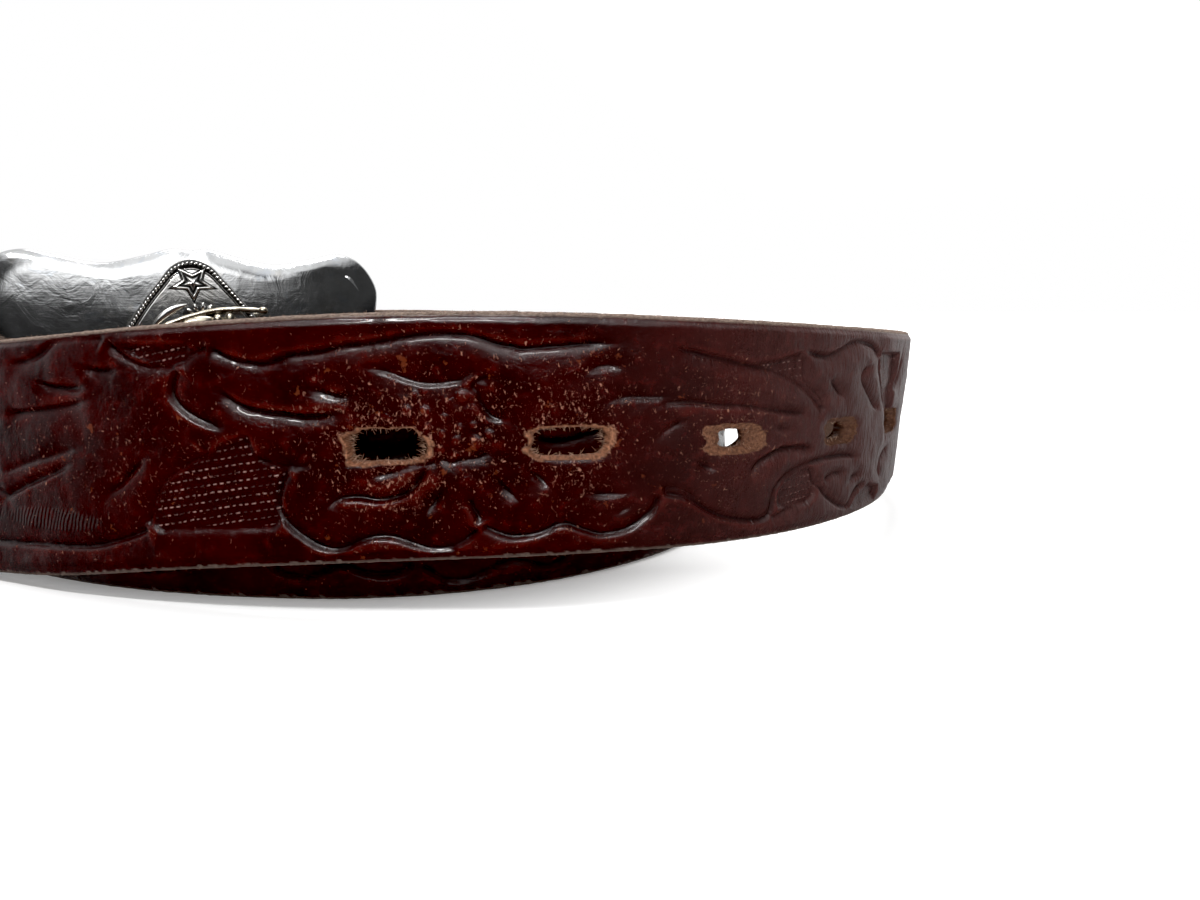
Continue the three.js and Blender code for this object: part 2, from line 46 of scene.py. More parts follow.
def place(p):
    """Millimetres in plan to metres in the frame."""
    return (np.asarray(p, float) + SHIFT) * MM


# ---------------------------------------------------------------- camera
scene = bpy.context.scene
cam_data = bpy.data.cameras.new("camera")
cam = bpy.data.objects.new("camera", cam_data)
scene.collection.objects.link(cam)
cam.location = (0.03776, -0.20461, 0.04716)
cam.rotation_euler = (math.radians(90 - 10.03), 0, 0)
cam_data.sensor_width = 36
cam_data.lens = 26.01
cam_data.clip_start = 0.002
cam_data.clip_end = 20
scene.camera = cam
scene.view_settings.view_transform = "Standard"
scene.view_settings.use_curve_mapping = True
scene.view_settings.curve_mapping.black_level = (0.0040, 0.0040, 0.0040)
scene.view_settings.curve_mapping.update()
scene.view_settings.look = "None"

# ---------------------------------------------------------------- the strap's route
COIL_CENTRE = (-45.0, 80.0)
# turn about the coil's centre, distance to the middle of the leather, height of the lower edge,
# width, outward lean of the upper edge
ROUTE = np.array([
    (22, 111.2, 9.0, 30.5, 3), (0, 109.6, 8.2, 31.4, 4), (-16, 105.4, 7.9, 32.4, 4),
    (-34, 100.6, 8.9, 33.4, 3.6), (-48, 96.6, 9.8, 34.0, 3.2), (-63, 89.5, 10.1, 34.9, 2.6),
    (-79, 82.0, 9.3, 35.8, 1.8), (-101, 78.6, 7.2, 36.4, 0.8), (-127, 82, 2.5, 38.1, 0),
    (-150, 92.5, 0.2, 38.1, 0), (-180, 99.5, 0, 38.1, 0), (-225, 95, 0, 38.1, 0),
    (-270, 86, 0, 38.1, 0), (-315, 77.5, 0, 38.1, 0), (-360, 70.6, 0, 38.1, 0),
    (-396, 70.4, 0, 38.1, 0), (-418, 70.4, 0, 38.1, 0), (-447, 70.2, 0, 38.1, 0),
    (-457, 70.2, 0, 38.1, 0), (-490, 77, 0, 38.1, 0), (-512, 86.5, 0, 38.1, 0),
    (-540, 91, 0, 38.1, 0), (-585, 83, 0, 38.1, 0), (-630, 76, 1.5, 38.1, 0),
    (-662.8, 73.2, 3.6, 37.3, 0), (-683.6, 69.5, 5.2, 36.4, 0), (-699.3, 57.5, 7.6, 34.6, 0),
    (-708.5, 41, 9.6, 33.4, 0),
], float)
STRAP_THICK, FOLD_THICK, SKIVE = 3.0, 2.2, 90.0
TIP_LENGTH, TIP_BLUNT = 17.0, 6.0
# the plate's middle and its turn; the loop's bar stands across and behind from it
PLATE_X, PLATE_Z, PLATE_FRONT, PLATE_TURN, PLATE_THICK = -79.8, 28.8, 47.6, math.radians(25.4), 1.4
LOOP_ACROSS, LOOP_BEHIND = 29.0, 13.3
BAR_X = PLATE_X + LOOP_ACROSS * math.cos(PLATE_TURN) - LOOP_BEHIND * math.sin(PLATE_TURN)
BAR_Y = PLATE_FRONT + LOOP_ACROSS * math.sin(PLATE_TURN) + LOOP_BEHIND * math.cos(PLATE_TURN)
BAR_R, BAR_LOW, BAR_HIGH = 1.5, 9.4, 47.9
FOLD_HEADING = math.radians(200)
FOLD_STRAIGHT, FOLD_RETURN, FOLD_PINCH, FOLD_GAP = 12.0, 40.0, 9.0, 0.4
FOLD_LOWER, FOLD_WIDTH = 12.3, 32.0
SLOT_PITCH, SLOT_FIRST, SLOT_BELOW_MIDDLE = 25.4, 81.2, 0.6


def ease(t):
    t = np.clip(t, 0, 1)
    return t * t * (3 - 2 * t)


def spiral(q):
    """Rows of the route table at q = -turn, by a smooth curve through them."""
    k = -ROUTE[:, 0]
    rows = ROUTE[:, 1:]
    h = np.diff(k)
    d = np.diff(rows, axis=0) / h[:, None]
    m = np.zeros_like(rows)
    m[0], m[-1] = d[0], d[-1]
    m[1:-1] = (h[:-1, None] * d[1:] + h[1:, None] * d[:-1]) / (h[:-1] + h[1:])[:, None]
    i = np.clip(np.searchsorted(k, q, side="right") - 1, 0, len(k) - 2)
    t = ((q - k[i]) / h[i])[:, None]
    hh = h[i][:, None]
    v = ((2 * t**3 - 3 * t**2 + 1) * rows[i] + (t**3 - 2 * t**2 + t) * hh * m[i]
         + (-2 * t**3 + 3 * t**2) * rows[i + 1] + (t**3 - t**2) * hh * m[i + 1])
    a = np.radians(-q)
    xy = np.c_[COIL_CENTRE[0] + v[:, 0] * np.cos(a), COIL_CENTRE[1] + v[:, 0] * np.sin(a)]
    return xy, np.maximum(v[:, 1], 0), v[:, 2], v[:, 3]


def thickness(s, bar_s):
    return FOLD_THICK + (STRAP_THICK - FOLD_THICK) * ease((bar_s - s) / SKIVE)


def strap_route():
    q = np.linspace(-ROUTE[0, 0], -ROUTE[-1, 0], 12001)
    xy, low, wid, lean = spiral(q)
    s = np.r_[0, np.cumsum(np.hypot(*np.diff(xy, axis=0).T))]
    walked = s[-1]
    end = xy[-1]
    direction = xy[-1] - xy[-40]
    direction /= np.hypot(*direction)
    middle = BAR_R + 0.5 + FOLD_THICK / 2
    run = np.array([math.cos(FOLD_HEADING), math.sin(FOLD_HEADING)])
    side = np.array([-run[1], run[0]])
    start = np.array([BAR_X, BAR_Y]) + side * middle - run * FOLD_STRAIGHT
    span = np.hypot(*(start - end))
    p0, p1 = end, end + direction * span * 0.38
    p2, p3 = start - run * span * 0.38, start
    t = np.linspace(0, 1, 400)[:, None]
    lead = (1 - t)**3 * p0 + 3 * (1 - t)**2 * t * p1 + 3 * (1 - t) * t**2 * p2 + t**3 * p3
    ls = np.r_[0, np.cumsum(np.hypot(*np.diff(lead, axis=0).T))]
    e = ease(ls / ls[-1])
    bar_s = walked + ls[-1] + FOLD_STRAIGHT
    st = np.linspace(0, FOLD_STRAIGHT, 40)[1:]
    X = [xy, lead[1:], start + run * st[:, None]]
    S = [s, walked + ls[1:], walked + ls[-1] + st]
    LO = [low, (low[-1] + (FOLD_LOWER - low[-1]) * e)[1:], np.full(len(st), FOLD_LOWER)]
    W = [wid, (wid[-1] + (FOLD_WIDTH - wid[-1]) * e)[1:], np.full(len(st), FOLD_WIDTH)]
    LE = [lean, np.zeros(len(ls) - 1), np.zeros(len(st))]
    inX, inS = np.concatenate(X), np.concatenate(S)
    a = FOLD_HEADING + np.pi / 2 - np.linspace(0, np.pi, 60)[1:]
    X.append(np.c_[BAR_X + middle * np.cos(a), BAR_Y + middle * np.sin(a)])
    S.append(bar_s + np.linspace(0, np.pi * middle, 60)[1:])
    LO.append(np.full(59, FOLD_LOWER)); W.append(np.full(59, FOLD_WIDTH)); LE.append(np.zeros(59))
    turn_end = bar_s + np.pi * middle
    along = np.linspace(0, FOLD_RETURN, 160)[1:]
    at = bar_s - along
    px, py = np.interp(at, inS, inX[:, 0]), np.interp(at, inS, inX[:, 1])
    dx = np.interp(at + .3, inS, inX[:, 0]) - np.interp(at - .3, inS, inX[:, 0])
    dy = np.interp(at + .3, inS, inX[:, 1]) - np.interp(at - .3, inS, inX[:, 1])
    n = np.hypot(dx, dy)
    close = thickness(at, bar_s) / 2 + FOLD_THICK / 2 + FOLD_GAP
    d = close + (2 * middle - close) * (1 - ease(along / FOLD_PINCH))
    X.append(np.c_[px + dy / n * d, py - dx / n * d])
    S.append(turn_end + along)
    LO.append(np.full(len(along), FOLD_LOWER + 0.4)); W.append(np.full(len(along), FOLD_WIDTH - 0.8))
    LE.append(np.zeros(len(along)))
    X, S = np.concatenate(X), np.concatenate(S)
    LO, W, LE = np.concatenate(LO), np.concatenate(W), np.concatenate(LE)
    g = np.arange(0, S[-1], 0.25)
    x, y = np.interp(g, S, X[:, 0]), np.interp(g, S, X[:, 1])
    return g, x, y, np.interp(g, S, LO), np.interp(g, S, W), np.interp(g, S, LE), bar_s


RS, RX, RY, RLO, RW, RLE, BAR_S = strap_route()
_tx, _ty = np.gradient(RX), np.gradient(RY)
_n = np.hypot(_tx, _ty)
RTX, RTY = _tx / _n, _ty / _n
END_S = RS[-1]


def at(s, table):
    return np.interp(s, RS, table)


def width_at(s):
    """Height of the strap at s, narrowing over its rounded tip."""
    w = at(s, RW)
    r = np.sqrt(np.clip(1 - (1 - np.clip(s, 0, TIP_LENGTH) / TIP_LENGTH)**2, 0, 1))
    return np.maximum(TIP_BLUNT, w * r)


def strap_point(s, v, o):
    """Point in plan millimetres at s along the leather, v above its lower edge, o outwards."""
    w = at(s, RW)
    tip = (w - width_at(s)) / 2
    z = v + tip - w / 2
    off = o + z * np.tan(np.radians(at(s, RLE)))
    return np.stack([at(s, RX) - at(s, RTY) * off, at(s, RY) + at(s, RTX) * off, at(s, RLO) + w / 2 + z], -1)


# ---------------------------------------------------------------- smooth random fields
_rng = np.random.RandomState(41)
_LATTICE = _rng.rand(256, 256)


def noise(x, y, seed=0):
    """Smooth value noise from 0 to 1 with cells one unit across."""
    x = np.asarray(x, float) + seed * 17.31
    y = np.asarray(y, float) + seed * 9.17
    xi, yi = np.floor(x).astype(int), np.floor(y).astype(int)
    fx, fy = ease(x - xi), ease(y - yi)
    a, b = _LATTICE[xi % 256, yi % 256], _LATTICE[(xi + 1) % 256, yi % 256]
    c, d = _LATTICE[xi % 256, (yi + 1) % 256], _LATTICE[(xi + 1) % 256, (yi + 1) % 256]
    return (a * (1 - fx) + b * fx) * (1 - fy) + (c * (1 - fx) + d * fx) * fy


def layered(x, y, seed=0, octaves=3):
    total, amount, size = 0, 0, 1.0
    for k in range(octaves):
        total = total + noise(x / size, y / size, seed + k) * size
        amount += size
        size *= 0.5
    return total / amount


# ---------------------------------------------------------------- the tooled pattern
# One row for each cut of the carving: side that is pressed down, depth, width, taper at the start
# and at the end, and the line itself as (millimetres from the tip, height over a 36 mm strap).
CUTS = [
    (-1, 0.75, 1.3, 0.7, 0.7, [(224.5, 35.1), (223.0, 33.6), (220.5, 32.0), (218.0, 31.0), (212.6, 30.3)]),
    (-1, 0.55, 1.2, 3.0, 0.7, [(247.5, 33.5), (241.6, 33.6), (238.0, 34.5), (235.3, 35.8), (232.4, 36.3), (228.7, 36.1), (225.9, 35.7), (224.5, 35.1)]),
    (-1, 0.75, 1.5, 3.0, 3.0, [(230.6, 33.1), (229.6, 32.2), (228.3, 31.4), (224.8, 30.9), (221.6, 30.8)]),
    (-1, 0.80, 1.5, 3.0, 3.0, [(240.1, 31.5), (239.7, 30.8), (238.7, 30.3), (236.9, 29.6), (233.6, 29.1), (227.9, 28.7)]),
    (-1, 0.55, 1.6, 3.0, 3.0, [(249.0, 26.3), (243.1, 26.0), (235.2, 26.3), (227.4, 27.0)]),
    (1, 0.40, 1.0, 3.0, 3.0, [(251.3, 16.3), (244.2, 17.8), (236.4, 19.1), (230.3, 20.0)]),
    (1, 0.60, 1.2, 3.0, 3.0, [(252.4, 11.3), (248.7, 13.1), (243.8, 14.7), (237.6, 16.3), (232.5, 18.0)]),
    (1, 0.70, 1.3, 3.0, 0.7, [(253.7, 5.5), (248.2, 5.3), (240.9, 5.0), (234.5, 4.7), (230.5, 4.7), (226.0, 5.4), (222.3, 6.2), (219.8, 7.1)]),
    (-1, 0.60, 1.4, 3.0, 3.0, [(227.7, 10.4), (227.4, 12.2), (226.0, 13.6), (224.7, 14.3), (222.1, 16.4), (219.9, 17.7), (217.8, 18.8)]),
    (1, 0.70, 1.2, 0.7, 3.0, [(219.8, 7.1), (219.6, 8.8), (219.0, 11.1), (217.7, 13.1), (216.5, 14.1), (214.2, 15.4), (211.9, 16.6), (209.3, 17.3), (209.1, 18.4), (207.0, 19.3)]),
    (1, 0.60, 1.0, 0.7, 0.7, [(207.3, 32.9), (208.4, 32.8), (209.9, 32.3), (211.6, 31.3), (212.6, 30.3)]),
    (1, 0.80, 1.3, 0.7, 3.0, [(212.6, 30.3), (213.6, 28.9), (214.1, 27.4), (213.9, 26.0), (213.0, 24.7), (211.7, 23.5), (210.2, 22.6), (208.4, 21.8), (206.4, 21.2), (204.2, 20.8)]),
    (1, 0.70, 1.0, 3.0, 0.7, [(202.6, 19.4), (201.6, 16.9), (199.4, 15.9), (197.1, 15.5), (195.2, 15.7)]),
    (-1, 0.55, 0.9, 0.7, 0.7, [(218.9, 7.0), (216.1, 6.8), (209.7, 6.6), (203.7, 6.5), (198.9, 6.5)]),
    (-1, 0.80, 1.1, 0.7, 0.7, [(207.5, 33.0), (205.6, 31.9), (203.3, 31.0), (200.1, 30.5), (198.1, 30.8), (196.0, 31.5), (193.4, 31.7), (190.8, 32.0), (188.3, 32.5), (184.6, 32.7), (180.8, 33.3), (177.0, 33.9), (174.6, 34.1), (171.7, 34.1)]),
    (-1, 0.95, 1.7, 3.0, 3.0, [(207.5, 28.0), (206.8, 27.2), (205.9, 26.4), (203.6, 24.7), (200.7, 23.8), (197.6, 23.3), (194.0, 22.8), (189.9, 22.9), (186.8, 23.1)]),
    (-1, 0.80, 1.6, 3.0, 3.0, [(193.9, 27.9), (192.7, 26.7), (190.7, 25.9), (188.7, 25.5), (185.1, 25.6)]),
    (1, 0.55, 1.0, 0.7, 3.0, [(201.3, 17.0), (199.2, 15.8), (197.1, 15.2), (194.0, 15.4), (191.1, 15.8)]),
    (-1, 0.80, 1.2, 0.7, 0.7, [(172.8, 2.3), (175.0, 2.1), (177.1, 2.2), (179.7, 3.0), (182.2, 4.0), (185.0, 4.3), (187.4, 3.7), (189.3, 2.9), (191.1, 2.7), (193.2, 3.3), (195.3, 4.7), (197.3, 6.4), (198.5, 8.1), (199.1, 10.0), (198.7, 12.1), (197.8, 14.2), (196.6, 15.2)]),
    (-1, 0.30, 0.8, 2.1, 0.7, [(196.3, 7.6), (197.2, 8.8), (197.4, 11.0), (197.0, 13.1)]),
    (1, 1.00, 1.5, 3.0, 0.7, [(191.9, 7.8), (191.5, 8.9), (190.6, 9.8), (189.6, 10.3), (187.1, 10.3), (184.5, 9.8), (181.9, 10.0), (179.6, 10.9), (178.0, 12.8), (176.8, 14.6)]),
    (1, 0.70, 1.2, 2.3, 2.3, [(177.9, 7.3), (176.9, 8.1), (175.5, 10.1), (174.4, 12.6)]),
    (1, 0.60, 1.0, 3.0, 0.7, [(186.8, 14.1), (184.3, 13.4), (180.9, 14.0), (178.1, 15.5)]),
    (1, 0.50, 1.6, 3.0, 0.7, [(186.5, 29.0), (184.7, 29.1), (182.3, 28.5), (179.8, 27.5), (177.4, 26.8), (174.9, 26.8), (172.0, 27.1)]),
    (-1, 0.50, 0.8, 0.7, 0.7, [(180.7, 14.2), (178.4, 14.9), (175.8, 15.4), (174.6, 15.9)]),
    (-1, 0.80, 1.1, 0.7, 3.0, [(174.7, 34.0), (171.1, 34.0), (169.2, 33.6), (167.5, 33.0), (165.9, 32.6), (164.4, 32.4), (163.8, 32.1), (160.4, 32.4), (156.9, 32.7), (153.2, 33.0), (149.7, 33.1)]),
    (1, 0.60, 1.3, 0.7, 2.8, [(175.0, 27.0), (172.5, 27.1), (171.0, 27.7), (170.1, 28.4), (169.1, 29.0), (167.6, 29.4)]),
    (-1, 0.70, 1.0, 0.7, 2.9, [(169.7, 23.4), (169.6, 25.3), (170.4, 26.3), (170.1, 27.1), (168.9, 27.8), (167.7, 28.1), (166.2, 27.2)]),
    (1, 0.70, 1.0, 0.7, 2.5, [(169.6, 25.3), (169.2, 23.8), (168.1, 22.2), (166.6, 21.7), (164.7, 21.4)]),
    (-1, 0.50, 0.9, 0.7, 3.0, [(176.0, 15.4), (174.7, 15.9), (173.7, 15.4), (172.2, 15.9), (169.7, 16.2), (168.4, 17.0), (168.1, 18.0), (167.1, 19.0), (165.7, 19.2)]),
    (-1, 0.65, 1.3, 2.4, 2.4, [(167.8, 14.3), (166.8, 12.4), (165.4, 10.8), (163.4, 9.0)]),
    (1, 0.70, 1.2, 1.9, 1.9, [(163.6, 14.5), (162.1, 13.3), (160.6, 11.9), (159.5, 11.1)]),
    (1, 0.90, 0.9, 2.0, 0.7, [(171.5, 11.1), (171.1, 9.7), (170.9, 8.4), (170.2, 7.2), (169.9, 5.8)]),
    (1, 0.75, 1.2, 0.7, 0.7, [(178.6, 2.5), (176.0, 2.3), (173.4, 2.7), (171.3, 4.0), (169.9, 5.6)]),
    (1, 0.75, 1.2, 0.7, 0.7, [(169.7, 5.9), (168.2, 4.9), (165.7, 3.9), (163.2, 3.9), (160.7, 4.5), (158.9, 5.4), (157.4, 5.4), (155.6, 4.6), (153.0, 3.7), (150.9, 3.8), (148.7, 4.3), (146.4, 5.7), (144.7, 7.4), (143.8, 10.0)]),
    (1, 0.55, 1.1, 3.0, 3.0, [(156.9, 10.9), (154.3, 10.1), (151.4, 9.9), (148.6, 10.2), (147.0, 10.9)]),
    (1, 0.35, 0.9, 2.0, 2.0, [(152.0, 6.6), (149.6, 7.3), (147.0, 9.3)]),
    (1, 0.50, 1.4, 0.7, 0.7, [(143.9, 10.0), (142.4, 10.5), (140.9, 10.3), (139.4, 9.4), (137.4, 8.1)]),
    (-1, 0.40, 1.0, 3.0, 3.0, [(145.6, 17.4), (144.5, 19.0), (141.9, 20.9), (138.1, 22.3)]),
    (1, 0.45, 1.7, 3.0, 3.0, [(153.6, 23.0), (151.9, 24.2), (149.1, 24.8), (145.4, 24.8), (141.5, 25.0), (138.2, 25.3)]),
    (1, 0.55, 1.2, 2.4, 2.4, [(155.6, 28.2), (153.7, 29.1), (151.2, 29.5), (149.2, 29.0)]),
    (-1, 0.55, 2.2, 3.0, 0.7, [(144.5, 32.9), (139.6, 32.1), (137.0, 31.5), (134.3, 31.0), (129.9, 30.0), (125.0, 29.1), (121.4, 28.1), (118.5, 26.9), (114.1, 23.9), (112.0, 22.6)]),
    (1, 0.55, 1.5, 0.7, 3.0, [(144.3, 24.0), (139.2, 24.0), (135.2, 23.5), (130.9, 23.3), (126.1, 22.7), (120.6, 22.1), (115.2, 21.8)]),
    (1, 0.35, 1.0, 3.0, 3.0, [(126.9, 19.4), (122.7, 19.4), (118.3, 19.1)]),
    (-1, 0.75, 1.3, 3.0, 3.0, [(129.0, 9.9), (128.8, 11.7), (127.7, 13.6), (125.4, 14.9), (122.3, 16.1), (117.9, 16.2), (112.8, 15.2)]),
    (1, 0.70, 1.3, 0.7, 3.0, [(143.9, 9.9), (139.9, 8.9), (137.1, 7.1), (134.2, 5.4), (130.5, 4.3), (126.1, 3.7), (124.1, 4.5), (123.5, 6.8), (123.0, 8.9), (121.2, 10.8), (118.2, 12.0), (115.2, 12.6), (110.5, 13.2), (104.9, 13.2), (98.1, 12.3)]),
    (-1, 0.60, 1.2, 3.0, 0.7, [(119.4, 34.7), (119.7, 33.7), (118.0, 32.9), (113.5, 32.5), (109.9, 33.6), (106.3, 35.2), (102.3, 35.7), (97.3, 35.0), (93.9, 33.1)]),
    (-1, 0.60, 1.0, 0.7, 3.0, [(93.9, 33.1), (93.4, 30.7), (91.2, 27.1), (87.9, 23.1), (84.8, 19.9), (83.7, 16.0), (86.1, 12.8)]),
    (1, 0.50, 1.2, 0.7, 0.7, [(119.4, 32.8), (118.1, 27.6), (115.3, 25.7), (112.1, 23.2)]),
    (1, 0.55, 1.2, 3.0, 3.0, [(112.8, 29.3), (112.3, 28.2), (110.5, 27.1), (107.8, 25.1), (106.8, 23.7)]),
    (1, 0.60, 1.1, 3.0, 3.0, [(96.7, 31.6), (100.0, 30.2), (101.3, 28.6), (99.2, 26.3), (95.4, 23.4), (90.1, 20.9)]),
    (-1, 0.50, 0.9, 3.0, 3.0, [(79.6, 36.2), (77.9, 32.4), (78.9, 28.5), (82.4, 25.7), (83.6, 23.5)]),
    (1, 0.60, 1.0, 0.7, 3.0, [(115.2, 12.6), (112.5, 8.6), (109.2, 5.8), (104.1, 2.9), (100.8, 2.3), (99.0, 4.2), (96.5, 5.9), (92.9, 6.5)]),
    (1, 0.50, 0.9, 0.7, 3.0, [(110.5, 8.3), (108.2, 9.7), (102.1, 10.0)]),
    (1, 0.50, 0.9, 3.0, 3.0, [(103.6, 6.6), (99.8, 8.2), (95.3, 8.2)]),
    (-1, 0.50, 1.0, 0.7, 3.0, [(124.4, 3.7), (120.2, 4.8), (115.5, 4.5)]),
    (1, 0.60, 1.0, 3.0, 3.0, [(80.4, 13.2), (85.5, 11.3), (87.4, 8.5), (85.3, 4.8)]),
    (1, 0.50, 1.0, 2.2, 2.2, [(139.1, 15.8), (138.4, 14.8), (136.4, 13.5), (133.8, 13.2)]),
]
GROUNDS = [
    [(222.9, 34.3), (210.8, 33.2), (210.2, 32.5), (211.6, 31.3), (212.6, 30.5), (216.7, 31.0), (219.1, 31.9), (221.4, 33.2)],
    [(218.4, 12.3), (216.4, 13.8), (213.9, 15.1), (211.6, 16.4), (209.0, 17.2), (206.7, 19.0), (202.8, 20.2), (201.9, 17.2), (199.4, 15.7), (197.2, 15.1), (198.1, 13.7), (199.0, 10.8), (198.8, 8.8), (198.8, 6.6), (216.1, 7.0), (218.9, 7.2), (219.1, 10.0)],
    [(122.7, 5.9), (122.5, 8.5), (121.0, 10.5), (118.0, 11.7), (115.2, 12.3), (113.8, 10.3), (112.2, 8.2), (112.9, 6.4), (115.0, 5.0), (120.3, 5.0)],
    [(129.6, 30.1), (125.2, 31.0), (119.6, 32.7), (119.0, 29.9), (118.5, 27.4), (121.4, 28.2), (125.1, 29.2)],
    [(93.4, 33.7), (82.9, 33.7), (81.8, 28.7), (83.4, 25.8), (82.5, 21.2), (85.6, 20.8), (89.4, 25.4), (92.4, 29.7)],
    [(97.5, 3.5), (93.0, 5.7), (86.3, 4.2), (86.0, 0.6), (95.1, 0.6), (99.3, 1.8)],
]
DOTS = [
    (179.4, 22.9, 0.96, 0.50),
    (176.9, 23.0, 0.86, 0.50),
    (178.3, 25.4, 0.65, 0.40),
    (171.7, 25.1, 1.06, 0.50),
    (170.0, 18.3, 1.16, 0.45),
    (172.7, 18.6, 0.86, 0.35),
    (172.2, 20.6, 0.75, 0.30),
    (174.6, 19.6, 0.75, 0.30),
    (170.3, 20.9, 0.75, 0.30),
    (168.2, 19.6, 0.80, 0.30),
    (168.4, 17.4, 0.80, 0.30),
    (174.9, 17.3, 0.85, 0.30),
    (172.9, 16.4, 0.80, 0.28),
    (176.4, 18.4, 0.75, 0.28),
    (176.6, 20.7, 0.75, 0.28),
    (174.3, 22.0, 0.85, 0.30),
]

P_S0, P_S1, P_STEP = 60.0, 256.0, 0.15
_gs = np.arange(P_S0, P_S1, P_STEP)
_gy = np.arange(-0.3, 36.4, P_STEP)


def smooth_line(points, step=0.4):
    """A curve through the points, as closely spaced points."""
    p = np.asarray(points, float)
    e = np.vstack([2 * p[0] - p[1], p, 2 * p[-1] - p[-2]])
    out = []
    for i in range(1, len(e) - 2):
        n = max(2, int(np.hypot(*(e[i + 1] - e[i])) / step) + 1)
        t = np.linspace(0, 1, n, endpoint=False)[:, None]
        out.append(0.5 * (2 * e[i] + (e[i + 1] - e[i - 1]) * t + (2 * e[i - 1] - 5 * e[i] + 4 * e[i + 1] - e[i + 2]) * t**2
                          + (3 * e[i] - e[i - 1] - 3 * e[i + 1] + e[i + 2]) * t**3))
    out.append(p[-1:])
    return np.vstack(out)


def soften(field, radius):
    """Gaussian blur of a field on the pattern grid; radius in millimetres."""
    n = max(1, int(radius / P_STEP * 2.5))
    k = np.exp(-0.5 * (np.arange(-n, n + 1) * P_STEP / radius)**2)
    k /= k.sum()
    for axis in (0, 1):
        pad = [(n, n) if a == axis else (0, 0) for a in (0, 1)]
        f = np.pad(field, pad, mode="edge")
        field = sum(k[i] * (f[i:i + field.shape[0]] if axis == 0 else f[:, i:i + field.shape[1]]) for i in range(2 * n + 1))
    return field


def inside(poly, x, y):
    poly = np.asarray(poly, float)
    hit = np.zeros(np.broadcast(x, y).shape, bool)
    j = len(poly) - 1
    for i in range(len(poly)):
        xi, yi, xj, yj = *poly[i], *poly[j]
        cross = ((yi > y) != (yj > y)) & (x < (xj - xi) * (y - yi) / (yj - yi + 1e-12) + xi)
        hit ^= cross
        j = i
    return hit


def carve():
    """Height of the tooled face and the masks that the leather's colour uses."""
    S, Y = np.meshgrid(_gs, _gy, indexing="ij")
    low = np.zeros_like(S)
    rise = np.zeros_like(S)
    near = np.full_like(S, 30.0)
    line = np.zeros_like(S)
    reach = 7.0
    for side, depth, width, t0, t1, pts in CUTS:
        c = smooth_line(pts)
        arc = np.r_[0, np.cumsum(np.hypot(*np.diff(c, axis=0).T))]
        i0, i1 = np.searchsorted(_gs, [c[:, 0].min() - reach, c[:, 0].max() + reach])
        j0, j1 = np.searchsorted(_gy, [c[:, 1].min() - reach, c[:, 1].max() + reach])
        if i1 <= i0 or j1 <= j0:
            continue
        s, y = S[i0:i1, j0:j1], Y[i0:i1, j0:j1]
        best = np.full(s.shape, 1e9)
        sd = np.zeros(s.shape)
        pos = np.zeros(s.shape)
        for k in range(len(c) - 1):
            d = c[k + 1] - c[k]
            ln = np.hypot(*d) + 1e-9
            t = np.clip(((s - c[k, 0]) * d[0] + (y - c[k, 1]) * d[1]) / ln**2, 0, 1)
            ex, ey = s - c[k, 0] - t * d[0], y - c[k, 1] - t * d[1]
            e = ex * ex + ey * ey
            m = e < best
            best = np.where(m, e, best)
            sd = np.where(m, (-d[1] * ex + d[0] * ey) / ln, sd)
            pos = np.where(m, arc[k] + t * ln, pos)
        dist = np.sqrt(best)
        down = -side * sd                       # positive on the pressed side
        taper = ease(pos / min(1.8 * t0, arc[-1] * 0.5)) * ease((arc[-1] - pos) / min(1.8 * t1, arc[-1] * 0.5))
        wide = width * (0.8 + 0.5 * noise(pos / 5, 0.5, 7)) * (0.4 + 0.6 * taper)
        pressed = depth * taper * (0.74 * np.exp(-(dist / (0.42 * wide))**1.25) + 0.26 * np.exp(-(dist / (1.8 * wide))**1.4))
        lowk = np.where(down > 0, pressed, depth * taper * np.exp(-(dist / 0.22)**2))
        risek = np.where(down < 0, 0.42 * depth * taper * np.exp(-dist / 1.1), 0)
        low[i0:i1, j0:j1] = np.maximum(low[i0:i1, j0:j1], lowk)
        rise[i0:i1, j0:j1] = np.maximum(rise[i0:i1, j0:j1], risek)
        line[i0:i1, j0:j1] = np.maximum(line[i0:i1, j0:j1], taper * np.exp(-((dist - 0.05) / 0.17)**2))
        weak = dist + 2.2 * (1 - ease(taper * depth / 0.5))
        near[i0:i1, j0:j1] = np.minimum(near[i0:i1, j0:j1], weak)
    ground = np.zeros_like(S)
    for poly in GROUNDS:
        p = np.asarray(poly)
        i0, i1 = np.searchsorted(_gs, [p[:, 0].min() - 1, p[:, 0].max() + 1])
        ground[i0:i1] = np.maximum(ground[i0:i1], inside(poly, S[i0:i1], Y[i0:i1]).astype(float))
    ground = soften(ground, 0.22)
    height = -1.15 * low + rise + 0.70 * (1 - np.exp(-near / 1.9)) * (1 - ground) - 0.50 * ground
    # borders along both edges lie a little lower than the leaves
    border = np.maximum(ease((2.6 - Y) / 1.2), 0.15 * ease((Y - 32.0) / 5.0))
    height = height * (1 - 0.55 * border) - 0.08 * border
    for s0, y0, r, h in DOTS:
        d = np.hypot(S - s0, Y - y0) / r
        height += 0.55 * h * np.clip(1 - d**2, 0, 1)**0.7 - 0.20 * np.exp(-((d - 1.15) / 0.30)**2)
        line = np.maximum(line, 0.55 * np.exp(-((d - 1.1) / 0.16)**2))
    # slow waves and small dents of hand-tooled leather
    height += 0.45 * (layered(S / 8, Y / 6, 3) - 0.5) + 0.20 * (layered(S / 2.0, Y / 1.8, 9) - 0.5)
    height = soften(height, 0.20)
    broad = soften(height, 0.9)
    # cavity: depth below the softened face plus the cut lines; the leather's colour uses it as painted shade in the
    # cuts
    cavity = np.clip((broad - height - 0.10) * 1.8 + 0.18 * line, 0, 1)
    crest = np.clip((height - broad) * 4.5, 0, 1)
    return height, cavity, crest, soften(ground, 0.15)


HEIGHT, CAVITY, RIDGE, GROUND = carve()


